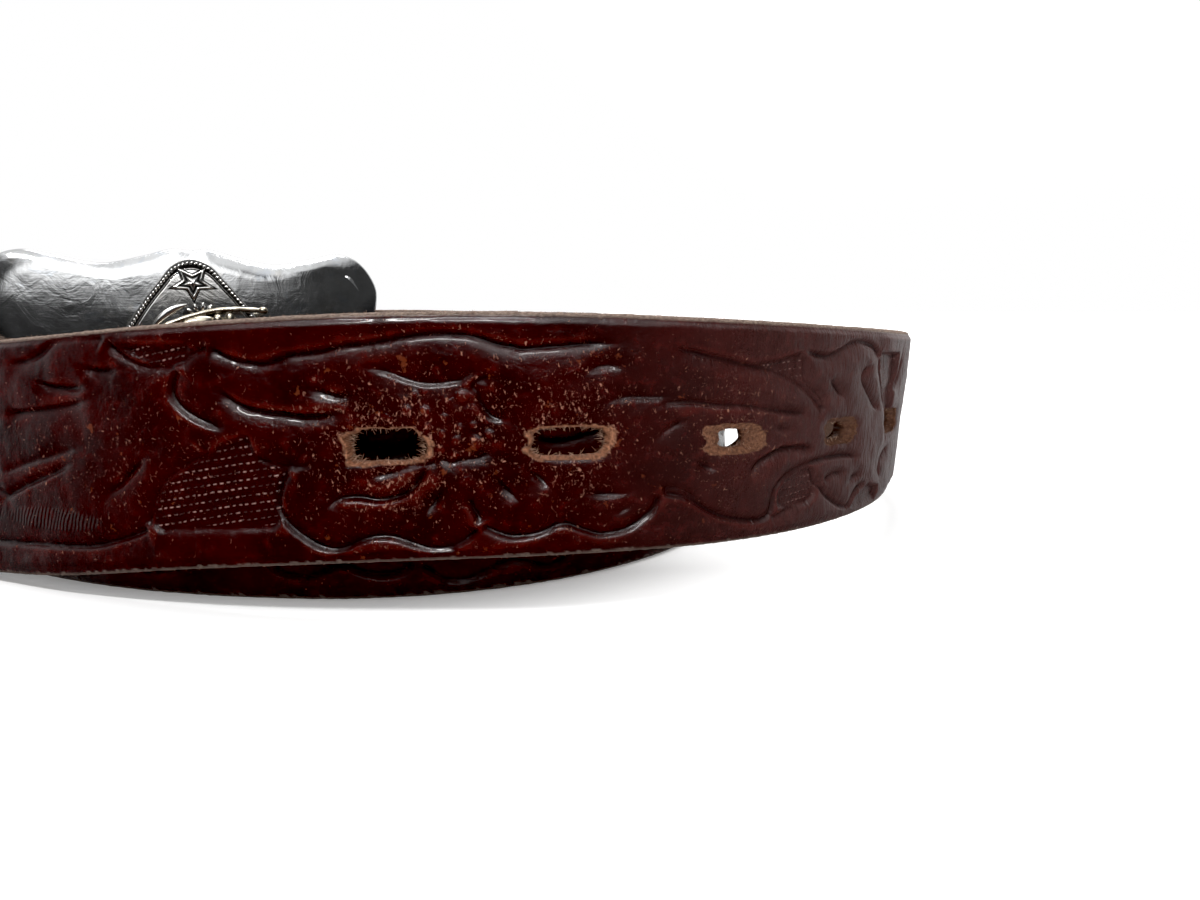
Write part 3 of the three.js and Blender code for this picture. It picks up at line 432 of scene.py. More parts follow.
# the tooled band over the strap's visible part: millimetres from the tip, lower line, height
BAND = np.array([(0, 9.8, 28.0), (42.5, 8.8, 29.0), (72.8, 8.2, 29.8), (105.5, 8.9, 31.4), (130, 9.4, 33.4),
                 (155.5, 9.7, 34.2), (180.5, 9.1, 35.2), (211.2, 7.0, 36.1), (247.8, 2.4, 37.0), (284.2, 0.2, 38.1)])


def pattern_place(s, v):
    """Where on the pattern grid a place on the strap takes its tooling from."""
    lo, hi = 62.5, 249.5
    span = hi - lo
    k = (s - lo) / span
    m = np.mod(k, 2.0)
    folded = lo + span * np.where(m > 1, 2 - m, m)
    low, high = (np.interp(s, BAND[:, 0], BAND[:, k]) for k in (1, 2))
    plain = s > BAND[-1, 0]
    w = np.where(plain, at(s, RW), high)
    return folded, (v + np.where(plain, 0, at(s, RLO) - low)) / np.maximum(w, 1) * 36.0


def sample(field, s, v):
    ps, py = pattern_place(s, v)
    x = np.clip((ps - _gs[0]) / P_STEP, 0, field.shape[0] - 1.001)
    y = np.clip((py - _gy[0]) / P_STEP, 0, field.shape[1] - 1.001)
    i, j = x.astype(int), y.astype(int)
    fx, fy = x - i, y - j
    return ((field[i, j] * (1 - fx) + field[i + 1, j] * fx) * (1 - fy)
            + (field[i, j + 1] * (1 - fx) + field[i + 1, j + 1] * fx) * fy)


# ---------------------------------------------------------------- mesh helpers
def make_mesh(name, verts, quads, tris=None, attributes=None, uvs=None, normals=None, smooth=True):
    """Object from arrays. quads and tris index verts; uvs maps a layer's name to (quad uvs, tri uvs)."""
    verts = np.asarray(verts, float)
    quads = np.asarray(quads, int).reshape(-1, 4)
    tris = np.zeros((0, 3), int) if tris is None else np.asarray(tris, int).reshape(-1, 3)
    mesh = bpy.data.meshes.new(name)
    mesh.vertices.add(len(verts))
    mesh.vertices.foreach_set("co", verts.ravel())
    loops = np.concatenate([quads.ravel(), tris.ravel()]).astype(np.int32)
    mesh.loops.add(len(loops))
    mesh.loops.foreach_set("vertex_index", loops)
    starts = np.concatenate([np.arange(len(quads)) * 4, len(quads) * 4 + np.arange(len(tris)) * 3]).astype(np.int32)
    mesh.polygons.add(len(starts))
    mesh.polygons.foreach_set("loop_start", starts)
    mesh.polygons.foreach_set("use_smooth", np.full(len(starts), smooth))
    for layer, (q, t) in (uvs or {}).items():
        uv = mesh.uv_layers.new(name=layer)
        data = np.concatenate([np.asarray(q, float).reshape(-1, 2), np.asarray(t, float).reshape(-1, 2)])
        uv.data.foreach_set("uv", data.ravel())
    mesh.update(calc_edges=True)
    mesh.validate(clean_customdata=False)
    for key, values in (attributes or {}).items():
        a = mesh.attributes.new(key, "FLOAT", "POINT")
        a.data.foreach_set("value", np.asarray(values, np.float32))
    if normals is not None:
        mesh.normals_split_custom_set_from_vertices([tuple(n) for n in np.asarray(normals, float)])
    obj = bpy.data.objects.new(name, mesh)
    scene.collection.objects.link(obj)
    return obj


def vertex_normals(verts, quads, tris=None):
    n = np.zeros_like(verts)
    a, b, c, d = (verts[quads[:, k]] for k in range(4))
    f = np.cross(c - a, d - b)
    for k in range(4):
        for ax in range(3):
            n[:, ax] += np.bincount(quads[:, k], f[:, ax], len(verts))
    if tris is not None and len(tris):
        a, b, c = (verts[tris[:, k]] for k in range(3))
        f = np.cross(b - a, c - a)
        for k in range(3):
            for ax in range(3):
                n[:, ax] += np.bincount(tris[:, k], f[:, ax], len(verts))
    return n / np.maximum(np.linalg.norm(n, axis=1, keepdims=True), 1e-12)


# ---------------------------------------------------------------- strap pieces
# slot openings: middle along the strap, half length and half height at the face, at the throat
# and at the back, and how ragged they are
SLOTS = [
    # s from tip, face (half l, half h), throat, back, raggedness
    (SLOT_FIRST, (5.3, 2.4), (4.3, 1.9), (4.9, 2.3), 0.06),
    (SLOT_FIRST + SLOT_PITCH, (5.1, 2.2), (2.9, 1.3), (3.5, 1.7), 0.09),
    (SLOT_FIRST + SLOT_PITCH * 2, (5.2, 2.2), (2.2, 1.3), (3.0, 1.7), 0.10),
    (SLOT_FIRST + SLOT_PITCH * 3, (5.5, 2.5), (5.0, 2.05), (5.6, 2.4), 0.07),
    (SLOT_FIRST + SLOT_PITCH * 4, (5.75, 2.8), (5.25, 2.5), (5.8, 2.6), 0.10),
]
SLOT_POWER = 3.4


def slot_radius(ds, dv, half, n=SLOT_POWER):
    return (np.abs(ds / half[0])**n + np.abs(dv / half[1])**n)**(1 / n)


def slot_rag(index, phi, amount):
    """Uneven outline of a worn slot, as a factor on its size."""
    return 1 + amount * (2 * noise(np.cos(phi) * 2.4 + 5, np.sin(phi) * 2.4 + 5, 30 + index) - 1) \
        + 0.5 * amount * (2 * noise(np.cos(phi) * 7 + 9, np.sin(phi) * 7 + 9, 60 + index) - 1)


def ring_rows(face_rows, inner_rows):
    """Stations round the strap's section: zone, fraction. Zones: 0 outer face, 1 upper edge, 2 inner face, 3 lower edge."""
    rows = [(0, f) for f in np.linspace(0, 1, face_rows)]
    rows += [(1, f) for f in (0.12, 0.25, 0.38, 0.5, 0.62, 0.75, 0.88)]
    rows += [(2, f) for f in np.linspace(1, 0, inner_rows)]
    rows += [(3, f) for f in (0.12, 0.25, 0.38, 0.5, 0.62, 0.75, 0.88)]
    return rows


EDGE = 0.70          # how far the worn rounding reaches in from the edge, on the face
EDGE_BACK = 0.5


def section(s, rows):
    """All vertices of the strap at stations s. Returns points and per-vertex attributes."""
    s = np.asarray(s, float)
    ns, nr = len(s), len(rows)
    zone = np.array([z for z, _ in rows])
    frac = np.array([f for _, f in rows])
    w = width_at(s)[:, None]
    th = thickness(s, BAR_S)[:, None]
    S = np.repeat(s[:, None], nr, 1)
    f = frac[None, :] + 0 * S
    v = np.zeros_like(S)
    o = np.zeros_like(S)
    z0, z1, z2, z3 = (zone[None, :] == k for k in range(4))
    rough = 0.22 * (layered(S / 1.3, zone[None, :] * 11.0 + 0 * S, 21) - 0.5)
    in_f = EDGE + rough
    v_face = in_f + (w - 2 * in_f) * f
    v_back = EDGE_BACK + (w - 2 * EDGE_BACK) * f
    # rounded edge between the two faces: a quarter curve on each side of the middle
    t = f
    a = t * np.pi
    drop = np.sin(a)**0.62                          # 0 at the faces, 1 at the middle of the edge
    reach = np.where(t < 0.5, in_f, EDGE_BACK)
    v_top = w - reach * (1 - drop)
    # outwards coordinate runs from the outer face to the inner one
    o_edge = th / 2 * np.cos(a)
    fuzz = 0.16 * (layered(S / 0.7, t * 6 + 3, 33) - 0.5) * drop
    v_edge_up = v_top + fuzz
    v_edge_low = reach * 0 + np.where(t > 0.5, in_f, EDGE_BACK) * (1 - drop) + fuzz
    v = np.where(z0, v_face, np.where(z2, v_back, np.where(z1, v_edge_up, v_edge_low)))
    o = np.where(z0, th / 2, np.where(z2, -th / 2, np.where(z1, o_edge, -o_edge)))
    # tooling on the outer face, fading out at the worn edge
    pv = v / np.maximum(w, 1e-6) * at(s, RW)[:, None]
    h = sample(HEIGHT, S, pv)
    cav, ridge, grd = (sample(k, S, pv) for k in (CAVITY, RIDGE, GROUND))
    e_dist = np.minimum(v, w - v)
    fade = np.where(z0, ease((e_dist - 0.5) / 1.1), 0)
    tail = 1 - 0.9 * ease((S - (BAR_S - 60)) / 40)       # the fold is left plain
    tipf = 0.35 + 0.65 * ease((S - 4) / 14)
    fade = fade * tail * tipf
    o = o + np.where(z0, h * fade - 0.05 * (1 - ease((e_dist - 0.6) / 1.2)), 0)
    # loose fibres and dents on the flesh side
    o = o - np.where(z2, 0.10 * (layered(S / 1.6, v / 1.6, 50) - 0.5), 0)
    raw = np.where(z1, ease((1 - np.abs(t - 0.45) / 0.62) * 4), np.where(z3, ease((1 - np.abs(t - 0.55) / 0.62) * 4), 0))
    raw = np.maximum(raw, np.where(z0, ease((EDGE + np.where(v > w / 2, -0.16, 0.0) + 0.55 * (layered(S / 0.8, v * 0 + zone * 3, 71) - 0.5) - e_dist) / 0.20), 0))
    att = {
        "cavity": np.where(z0, cav * fade, 0),
        "ridge": np.where(z0, ridge * fade, 0),
        "ground": np.where(z0, grd * np.clip(fade * 1.4, 0, 1), 0),
        "raw": raw,
        "flesh": np.where(z2, 1.0, 0.0) + np.where(z1, ease((t - 0.78) / 0.2), 0) + np.where(z3, ease((0.22 - t) / 0.2), 0),
        "rim": np.zeros_like(S),
        "scuff": np.where(z0, scuffing(S, pv), 0),
        "hatch": np.where(z0, hatching(S, pv), 0),
        # dry end of the strap and painted grey sheen, growing towards its tip
        "dry_end_and_sheen": np.where(z0, ease((164 - S) / 76), 0),
    }
    return S, v, o, att


def scuffing(s, v):
    """Where the face is most rubbed: round the slots that were used most."""
    total = np.zeros_like(s)
    for cs, amount, reach in ((182.8, 1.0, 15), (157.4, 0.95, 13), (132.0, 0.75, 12), (170.0, 0.75, 26), (225.0, 0.55, 26)):
        total = np.maximum(total, amount * np.exp(-((s - cs) / reach)**2 - ((v - 18) / 14)**2))
    return total


def hatching(s, v):
    """Patch of pressed slanting lines under a leaf."""
    ps, py = pattern_place(s, v)
    along, up = (ps - 238.5) / 11.5, (py - 9.3 - (ps - 238.5) * 0.09) / 1.9
    return ease((1 - np.sqrt(along**2 + up**2)) / 0.25)


def strap_piece(name, s0, s1, step, face_rows, inner_rows, join_lo=None, join_hi=None, closed_lo=False, closed_hi=False, bake_rows=1):
    """One length of the strap as a closed tube section, with its slots cut through."""
    rows = ring_rows(face_rows, inner_rows)
    n = max(2, int(round((s1 - s0) / step)))
    core = np.linspace(s0, s1, n + 1)
    st = (s1 - s0) / n
    s = np.r_[core[0] - (0 if closed_lo else st), core, core[-1] + (0 if closed_hi else st)] if True else core
    s = np.clip(s, 0, END_S)
    S, v, o, att = section(s, rows)
    ns, nr = S.shape
    w = width_at(s)[:, None]
    # meet a neighbour that has fewer rows: the shared station takes its points
    for idx, other in ((1, join_lo), (ns - 2, join_hi)):
        if other:
            S2, v2, o2, a2 = section(s[idx:idx + 1], ring_rows(*other))
            r1 = np.array([z + f for z, f in rows]); r2 = np.array([z + f for z, f in ring_rows(*other)])
            z1 = np.array([z for z, _ in rows]); z2 = np.array([z for z, _ in ring_rows(*other)])
            f1 = np.array([f for _, f in rows]); f2 = np.array([f for _, f in ring_rows(*other)])
            for z in range(4):
                m1, m2 = z1 == z, z2 == z
                order = np.argsort(f2[m2])
                for A, B in ((v, v2), (o, o2)):
                    A[idx, m1] = np.interp(f1[m1], f2[m2][order], B[0, m2][order])
    quads_idx = np.arange(ns * nr).reshape(ns, nr)
    nxt = np.roll(quads_idx, -1, axis=1)
    quads = np.stack([quads_idx[:-1], nxt[:-1], nxt[1:], quads_idx[1:]], -1)       # (ns-1, nr, 4)
    zone = np.array([z for z, _ in rows])
    ring = np.r_[np.arange(nr), nr] / nr
    keep = np.ones((ns - 1, nr), bool)
    extra_v, extra_q, extra_att, extra_uv = [], [], [], []
    count = ns * nr
    S_flat, v_flat, o_flat = S.ravel().copy(), v.ravel().copy(), o.ravel().copy()
    at_flat = {k: a.ravel().copy() for k, a in att.items()}
    slot_no = 0
    for si, (cs, face, throat, back, rag) in enumerate(SLOTS):
        if cs + 9 < s0 or cs - 9 > s1:
            continue
        mid = at(np.array([cs]), RW)[0] / 2 - SLOT_BELOW_MIDDLE
        wall_uv_row = slot_no
        slot_no += 1
        for face_zone, half in ((0, face), (2, back)):
            cols = np.where(zone == face_zone)[0]
            sel = np.zeros(ns * nr, bool)
            block = quads_idx[:, cols].ravel()
            ds = S_flat[block] - cs
            dv = v_flat[block] - mid
            phi = np.arctan2(dv / half[1], ds / half[0])
            rho = slot_radius(ds, dv, half) / slot_rag(si, phi, rag if face_zone == 0 else 0.02)
            ins = rho < 1
            inside_flag = np.zeros(ns * nr, bool)
            inside_flag[block[ins]] = True
            if face_zone == 0:
                # the leather rounds over into the slot and its finish is worn off round it
                ringd = (rho - 1) * np.minimum(half[1] * 1.4, 3.5)
                near = np.exp(-np.clip(ringd, 0, 9) / 0.5)
                o_flat[block] -= np.where(~ins, 0.40 * near, 0.40)
                lr = np.abs(np.cos(phi))**1.5
                reach = 0.06 + 0.42 * lr
                edge_n = layered(S_flat[block] / 0.8, v_flat[block] / 0.8, 80 + si)
                at_flat["rim"][block] = np.maximum(at_flat["rim"][block], ease((reach * (2.6 * edge_n - 0.45) - ringd) / 0.16))
                for key in ("ground", "cavity"):
                    at_flat[key][block] *= ease(ringd / 0.9)
            # cells wholly inside go; the others' inner corners move to the outline
            q_in = inside_flag[quads].all(axis=2)
            col_ok = np.zeros(nr, bool); col_ok[cols[:-1]] = True
            drop = q_in & col_ok[None, :]
            keep &= ~drop
            kept_q = quads[keep]
            used = np.zeros(ns * nr, bool)
            used[kept_q.ravel()] = True
            moved = inside_flag & used
            mi = np.where(moved)[0]
            ds, dv = S_flat[mi] - cs, v_flat[mi] - mid
            phi = np.arctan2(dv / half[1], ds / half[0])
            rr = slot_radius(ds, dv, half) / slot_rag(si, phi, rag if face_zone == 0 else 0.02)
            S_flat[mi] = cs + ds / rr
            v_flat[mi] = mid + dv / rr
            if face_zone == 0:
                # walls from the loop of moved vertices down to the back
                phi = np.arctan2((v_flat[mi] - mid) / half[1], (S_flat[mi] - cs) / half[0])
                order = np.argsort(phi)
                loop = mi[order]
                ls, lv, lp = S_flat[loop] - cs, v_flat[loop] - mid, phi[order]
                thk = thickness(np.array([cs]), BAR_S)[0]
                base_o = o_flat[loop]
                levels = [(0.10, 0.985), (0.22, 0.9), (0.36, 0.6), (0.5, 0.35), (0.64, 0.2), (0.8, 0.35), (0.92, 0.7), (1.0, 1.0)]
                prev = loop
                nl = len(loop)
                for li, (depth, _) in enumerate(levels):
                    if depth < 0.42:
                        g = ease(depth / 0.4)
                        hl = face[0] + (throat[0] - face[0]) * g, face[1] + (throat[1] - face[1]) * g
                    else:
                        g = ease((depth - 0.42) / 0.58)
                        hl = throat[0] + (back[0] - throat[0]) * g, throat[1] + (back[1] - throat[1]) * g
                    jag = 1 + 0.035 * (2 * noise(lp * 6, depth * 9 + 0 * lp, 90 + si) - 1)
                    ns_, nv_ = ls / face[0] * hl[0] * jag, lv / face[1] * hl[1] * jag
                    no_ = base_o + (-thk / 2 - 0.02 - base_o) * depth
                    ids = np.arange(nl) + count + sum(len(e[0]) for e in extra_v)
                    extra_v.append((cs + ns_, mid + nv_, no_))
                    a2 = {k: np.zeros(nl) for k in att}
                    # the wall's colour darkens with depth into the slot: painted shade
                    a2["rim"] = np.full(nl, 1.0 - 0.62 * depth)
                    a2["flesh"] = np.full(nl, 0.0)
                    extra_att.append(a2)
                    p2, i2 = np.roll(prev, -1), np.roll(ids, -1)
                    extra_q.append(np.stack([prev, ids, i2, p2], -1))
                    ph = (np.arange(nl) / nl, (np.arange(nl) + 1) / nl)
                    ylo = li / len(levels); yhi = (li + 1) / len(levels)
                    extra_uv.append((wall_uv_row, np.stack([np.stack([ph[0], ylo + 0 * ph[0]], -1), np.stack([ph[0], yhi + 0 * ph[0]], -1),
                                                            np.stack([ph[1], yhi + 0 * ph[1]], -1), np.stack([ph[1], ylo + 0 * ph[1]], -1)], 1)))
                    prev = ids
    if extra_v:
        S_flat = np.concatenate([S_flat] + [e[0] for e in extra_v])
        v_flat = np.concatenate([v_flat] + [e[1] for e in extra_v])
        o_flat = np.concatenate([o_flat] + [e[2] for e in extra_v])
        for k in at_flat:
            at_flat[k] = np.concatenate([at_flat[k]] + [e[k] for e in extra_att])
    P = strap_point(S_flat, v_flat, o_flat)
    P[:, 2] = np.maximum(P[:, 2], 0)
    core_rows = np.ones(ns - 1, bool)
    core_rows[0] = core_rows[-1] = False
    all_q = quads[keep]
    wall_q = np.concatenate(extra_q) if extra_q else np.zeros((0, 4), int)
    nq = np.concatenate([all_q, wall_q])
    N = vertex_normals(P, nq)
    # stations that exist only to give the ends true normals are dropped
    final_mask = keep & core_rows[:, None]
    fq = quads[final_mask]
    srow, scol = np.where(final_mask)
    # second map without overlaps, the strip folded into a few bands
    length = (s1 - s0) / bake_rows
    mid_s = (s[srow] + s[srow + 1]) / 2
    band = np.clip(((mid_s - s0) / length).astype(int), 0, bake_rows - 1)
    top = 0.93 if extra_q else 1.0
    def bake_uv(ss, rr):
        return np.stack([np.clip((ss - s0 - band * length) / length, -0.002, 1.002) * 0.996 + 0.002,
                         (band + 0.004 + rr * 0.992) / bake_rows * top], -1)
    r0, r1 = ring[scol], ring[scol + 1]
    bq = np.stack([bake_uv(s[srow], r0), bake_uv(s[srow], r1), bake_uv(s[srow + 1], r1), bake_uv(s[srow + 1], r0)], 1)
    parts = [bq]
    for row, uv in extra_uv:
        u = uv.copy()
        u[..., 0] = 0.002 + 0.996 * u[..., 0]
        u[..., 1] = 0.935 + (row + 0.05 + 0.9 * u[..., 1]) / max(1, slot_no) * 0.063
        parts.append(u)
    bq = np.concatenate(parts)
    quads_final = np.concatenate([fq, wall_q])
    tris = np.zeros((0, 3), int)
    # caps at the strap's two real ends
    caps = []
    if closed_lo:
        caps.append((quads_idx[1], False))
    if closed_hi:
        caps.append((quads_idx[ns - 2], True))
    cap_tris, cap_uv = [], []
    for loop, flip in caps:
        c = P[loop].mean(0)
        P = np.vstack([P, c])
        ci = len(P) - 1
        S_flat = np.r_[S_flat, S_flat[loop].mean()]
        v_flat = np.r_[v_flat, v_flat[loop].mean()]
        for k in at_flat:
            at_flat[k] = np.r_[at_flat[k], 1.0 if k == "raw" else 0.0]
        e = np.array([1.0, 0, 0])
        N = np.vstack([N, e])
        t = np.stack([np.full(len(loop), ci), loop, np.roll(loop, -1)], -1)
        if not flip:
            t = t[:, ::-1]
        cap_tris.append(t)
        cap_uv.append(np.tile([[0.001, 0.999]], (len(t) * 3, 1)).reshape(-1, 3, 2) + np.array([[0, 0], [0.001, 0], [0, 0.0008]]))
    if cap_tris:
        tris = np.concatenate(cap_tris)
    used = np.zeros(len(P), bool)
    used[quads_final.ravel()] = True
    used[tris.ravel()] = True
    remap = np.cumsum(used) - 1
    flat_uv = np.stack([S_flat / 100, v_flat / 100], -1)
    uvs = {"belt": (flat_uv[quads_final], flat_uv[tris] if len(tris) else np.zeros((0, 2))),
           "OFBake": (bq, np.concatenate(cap_uv) if cap_uv else np.zeros((0, 2)))}
    obj = make_mesh(name, place(P[used]), remap[quads_final], remap[tris] if len(tris) else None,
                    {k: a[used] for k, a in at_flat.items()}, uvs, None)
    # smooth normals over the whole strap, so that the joins between its lengths don't show
    obj.data.normals_split_custom_set_from_vertices([tuple(x) for x in N[used]])
    return obj


# ---------------------------------------------------------------- node helpers
class Socket:
    """A node's output with arithmetic, so that a material reads as formulas."""

    def __init__(self, tree, out):
        self.tree, self.out = tree, out

    def _math(self, op, *others):
        n = self.tree.nodes.new("ShaderNodeMath")
        n.operation = op
        for i, x in enumerate((self,) + others):
            if isinstance(x, Socket):
                self.tree.links.new(x.out, n.inputs[i])
            else:
                n.inputs[i].default_value = float(x)
        return Socket(self.tree, n.outputs[0])

    def __add__(self, o): return self._math("ADD", o)
    __radd__ = __add__
    def __sub__(self, o): return self._math("SUBTRACT", o)
    def __rsub__(self, o): return (self * -1)._math("ADD", o)
    def __mul__(self, o): return self._math("MULTIPLY", o)
    __rmul__ = __mul__
    def power(self, o): return self._math("POWER", o)
    def floor(self): return self._math("FLOOR")
    def fract(self): return self._math("FRACT")
    def absolute(self): return self._math("ABSOLUTE")
    def least(self, o): return self._math("MINIMUM", o)
    def most(self, o): return self._math("MAXIMUM", o)
    def clip(self):
        return self.least(1).most(0)

    def steps(self, lo, hi):
        """0 below lo, 1 above hi, smooth in between."""
        n = self.tree.nodes.new("ShaderNodeMapRange")
        n.interpolation_type = "SMOOTHSTEP"
        self.tree.links.new(self.out, n.inputs["Value"])
        n.inputs["From Min"].default_value = lo
        n.inputs["From Max"].default_value = hi
        return Socket(self.tree, n.outputs["Result"])


class Material:
    def __init__(self, name):
        self.m = bpy.data.materials.new(name)
        self.m.use_nodes = True
        self.tree = self.m.node_tree
        self.tree.nodes.clear()
        self.out = self.tree.nodes.new("ShaderNodeOutputMaterial")
        self.bsdf = self.tree.nodes.new("ShaderNodeBsdfPrincipled")
        self.tree.links.new(self.bsdf.outputs[0], self.out.inputs["Surface"])

    def new(self, kind):
        return self.tree.nodes.new(kind)

    def attribute(self, name):
        n = self.new("ShaderNodeAttribute")
        n.attribute_name = name
        return Socket(self.tree, n.outputs["Fac"])

    def place_uv(self, layer, scale=(100, 100, 100)):
        u = self.new("ShaderNodeUVMap")
        u.uv_map = layer
        m = self.new("ShaderNodeMapping")
        m.inputs["Scale"].default_value = scale
        self.tree.links.new(u.outputs[0], m.inputs["Vector"])
        return m.outputs[0]

    def place_object(self, scale=(1000, 1000, 1000), turn=(0, 0, 0)):
        c = self.new("ShaderNodeTexCoord")
        m = self.new("ShaderNodeMapping")
        m.inputs["Rotation"].default_value = turn
        m.inputs["Scale"].default_value = scale
        self.tree.links.new(c.outputs["Object"], m.inputs["Vector"])
        return m.outputs[0]

    def parts(self, vector):
        s = self.new("ShaderNodeSeparateXYZ")
        self.tree.links.new(vector, s.inputs[0])
        return [Socket(self.tree, s.outputs[i]) for i in range(3)]

    def noise(self, vector, scale, detail=3.0, rough=0.5, distortion=0.0):
        n = self.new("ShaderNodeTexNoise")
        n.inputs["Scale"].default_value = scale
        n.inputs["Detail"].default_value = detail
        n.inputs["Roughness"].default_value = rough
        n.inputs["Distortion"].default_value = distortion
        self.tree.links.new(vector, n.inputs["Vector"])
        return Socket(self.tree, n.outputs["Fac"])

    def cells(self, vector, scale, feature="F1", randomness=1.0):
        n = self.new("ShaderNodeTexVoronoi")
        n.feature = feature
        n.inputs["Scale"].default_value = scale
        n.inputs["Randomness"].default_value = randomness
        self.tree.links.new(vector, n.inputs["Vector"])
        return Socket(self.tree, n.outputs["Distance"])

    def mix(self, fac, a, b):
        """Colour a where fac is 0 and b where it is 1."""
        n = self.new("ShaderNodeMix")
        n.data_type = "RGBA"
        n.clamp_factor = True
        for key, x in ((0, fac),):
            if isinstance(x, Socket):
                self.tree.links.new(x.out, n.inputs[key])
            else:
                n.inputs[key].default_value = x
        for key, x in ((6, a), (7, b)):
            if hasattr(x, "is_linked"):
                self.tree.links.new(x, n.inputs[key])
            else:
                n.inputs[key].default_value = (*x, 1)
        return n.outputs[2]

    def colour(self, sock):
        self.tree.links.new(sock, self.bsdf.inputs["Base Color"])

    def set(self, name, value):
        if isinstance(value, Socket):
            self.tree.links.new(value.out, self.bsdf.inputs[name])
        else:
            self.bsdf.inputs[name].default_value = value

    def bump(self, height, distance, strength=1.0, below=None):
        b = self.new("ShaderNodeBump")
        b.inputs["Strength"].default_value = strength
        b.inputs["Distance"].default_value = distance
        self.tree.links.new(height.out, b.inputs["Height"])
        if below is not None:
            self.tree.links.new(below, b.inputs["Normal"])
        return b.outputs[0]

    def normal(self, sock):
        self.tree.links.new(sock, self.bsdf.inputs["Normal"])


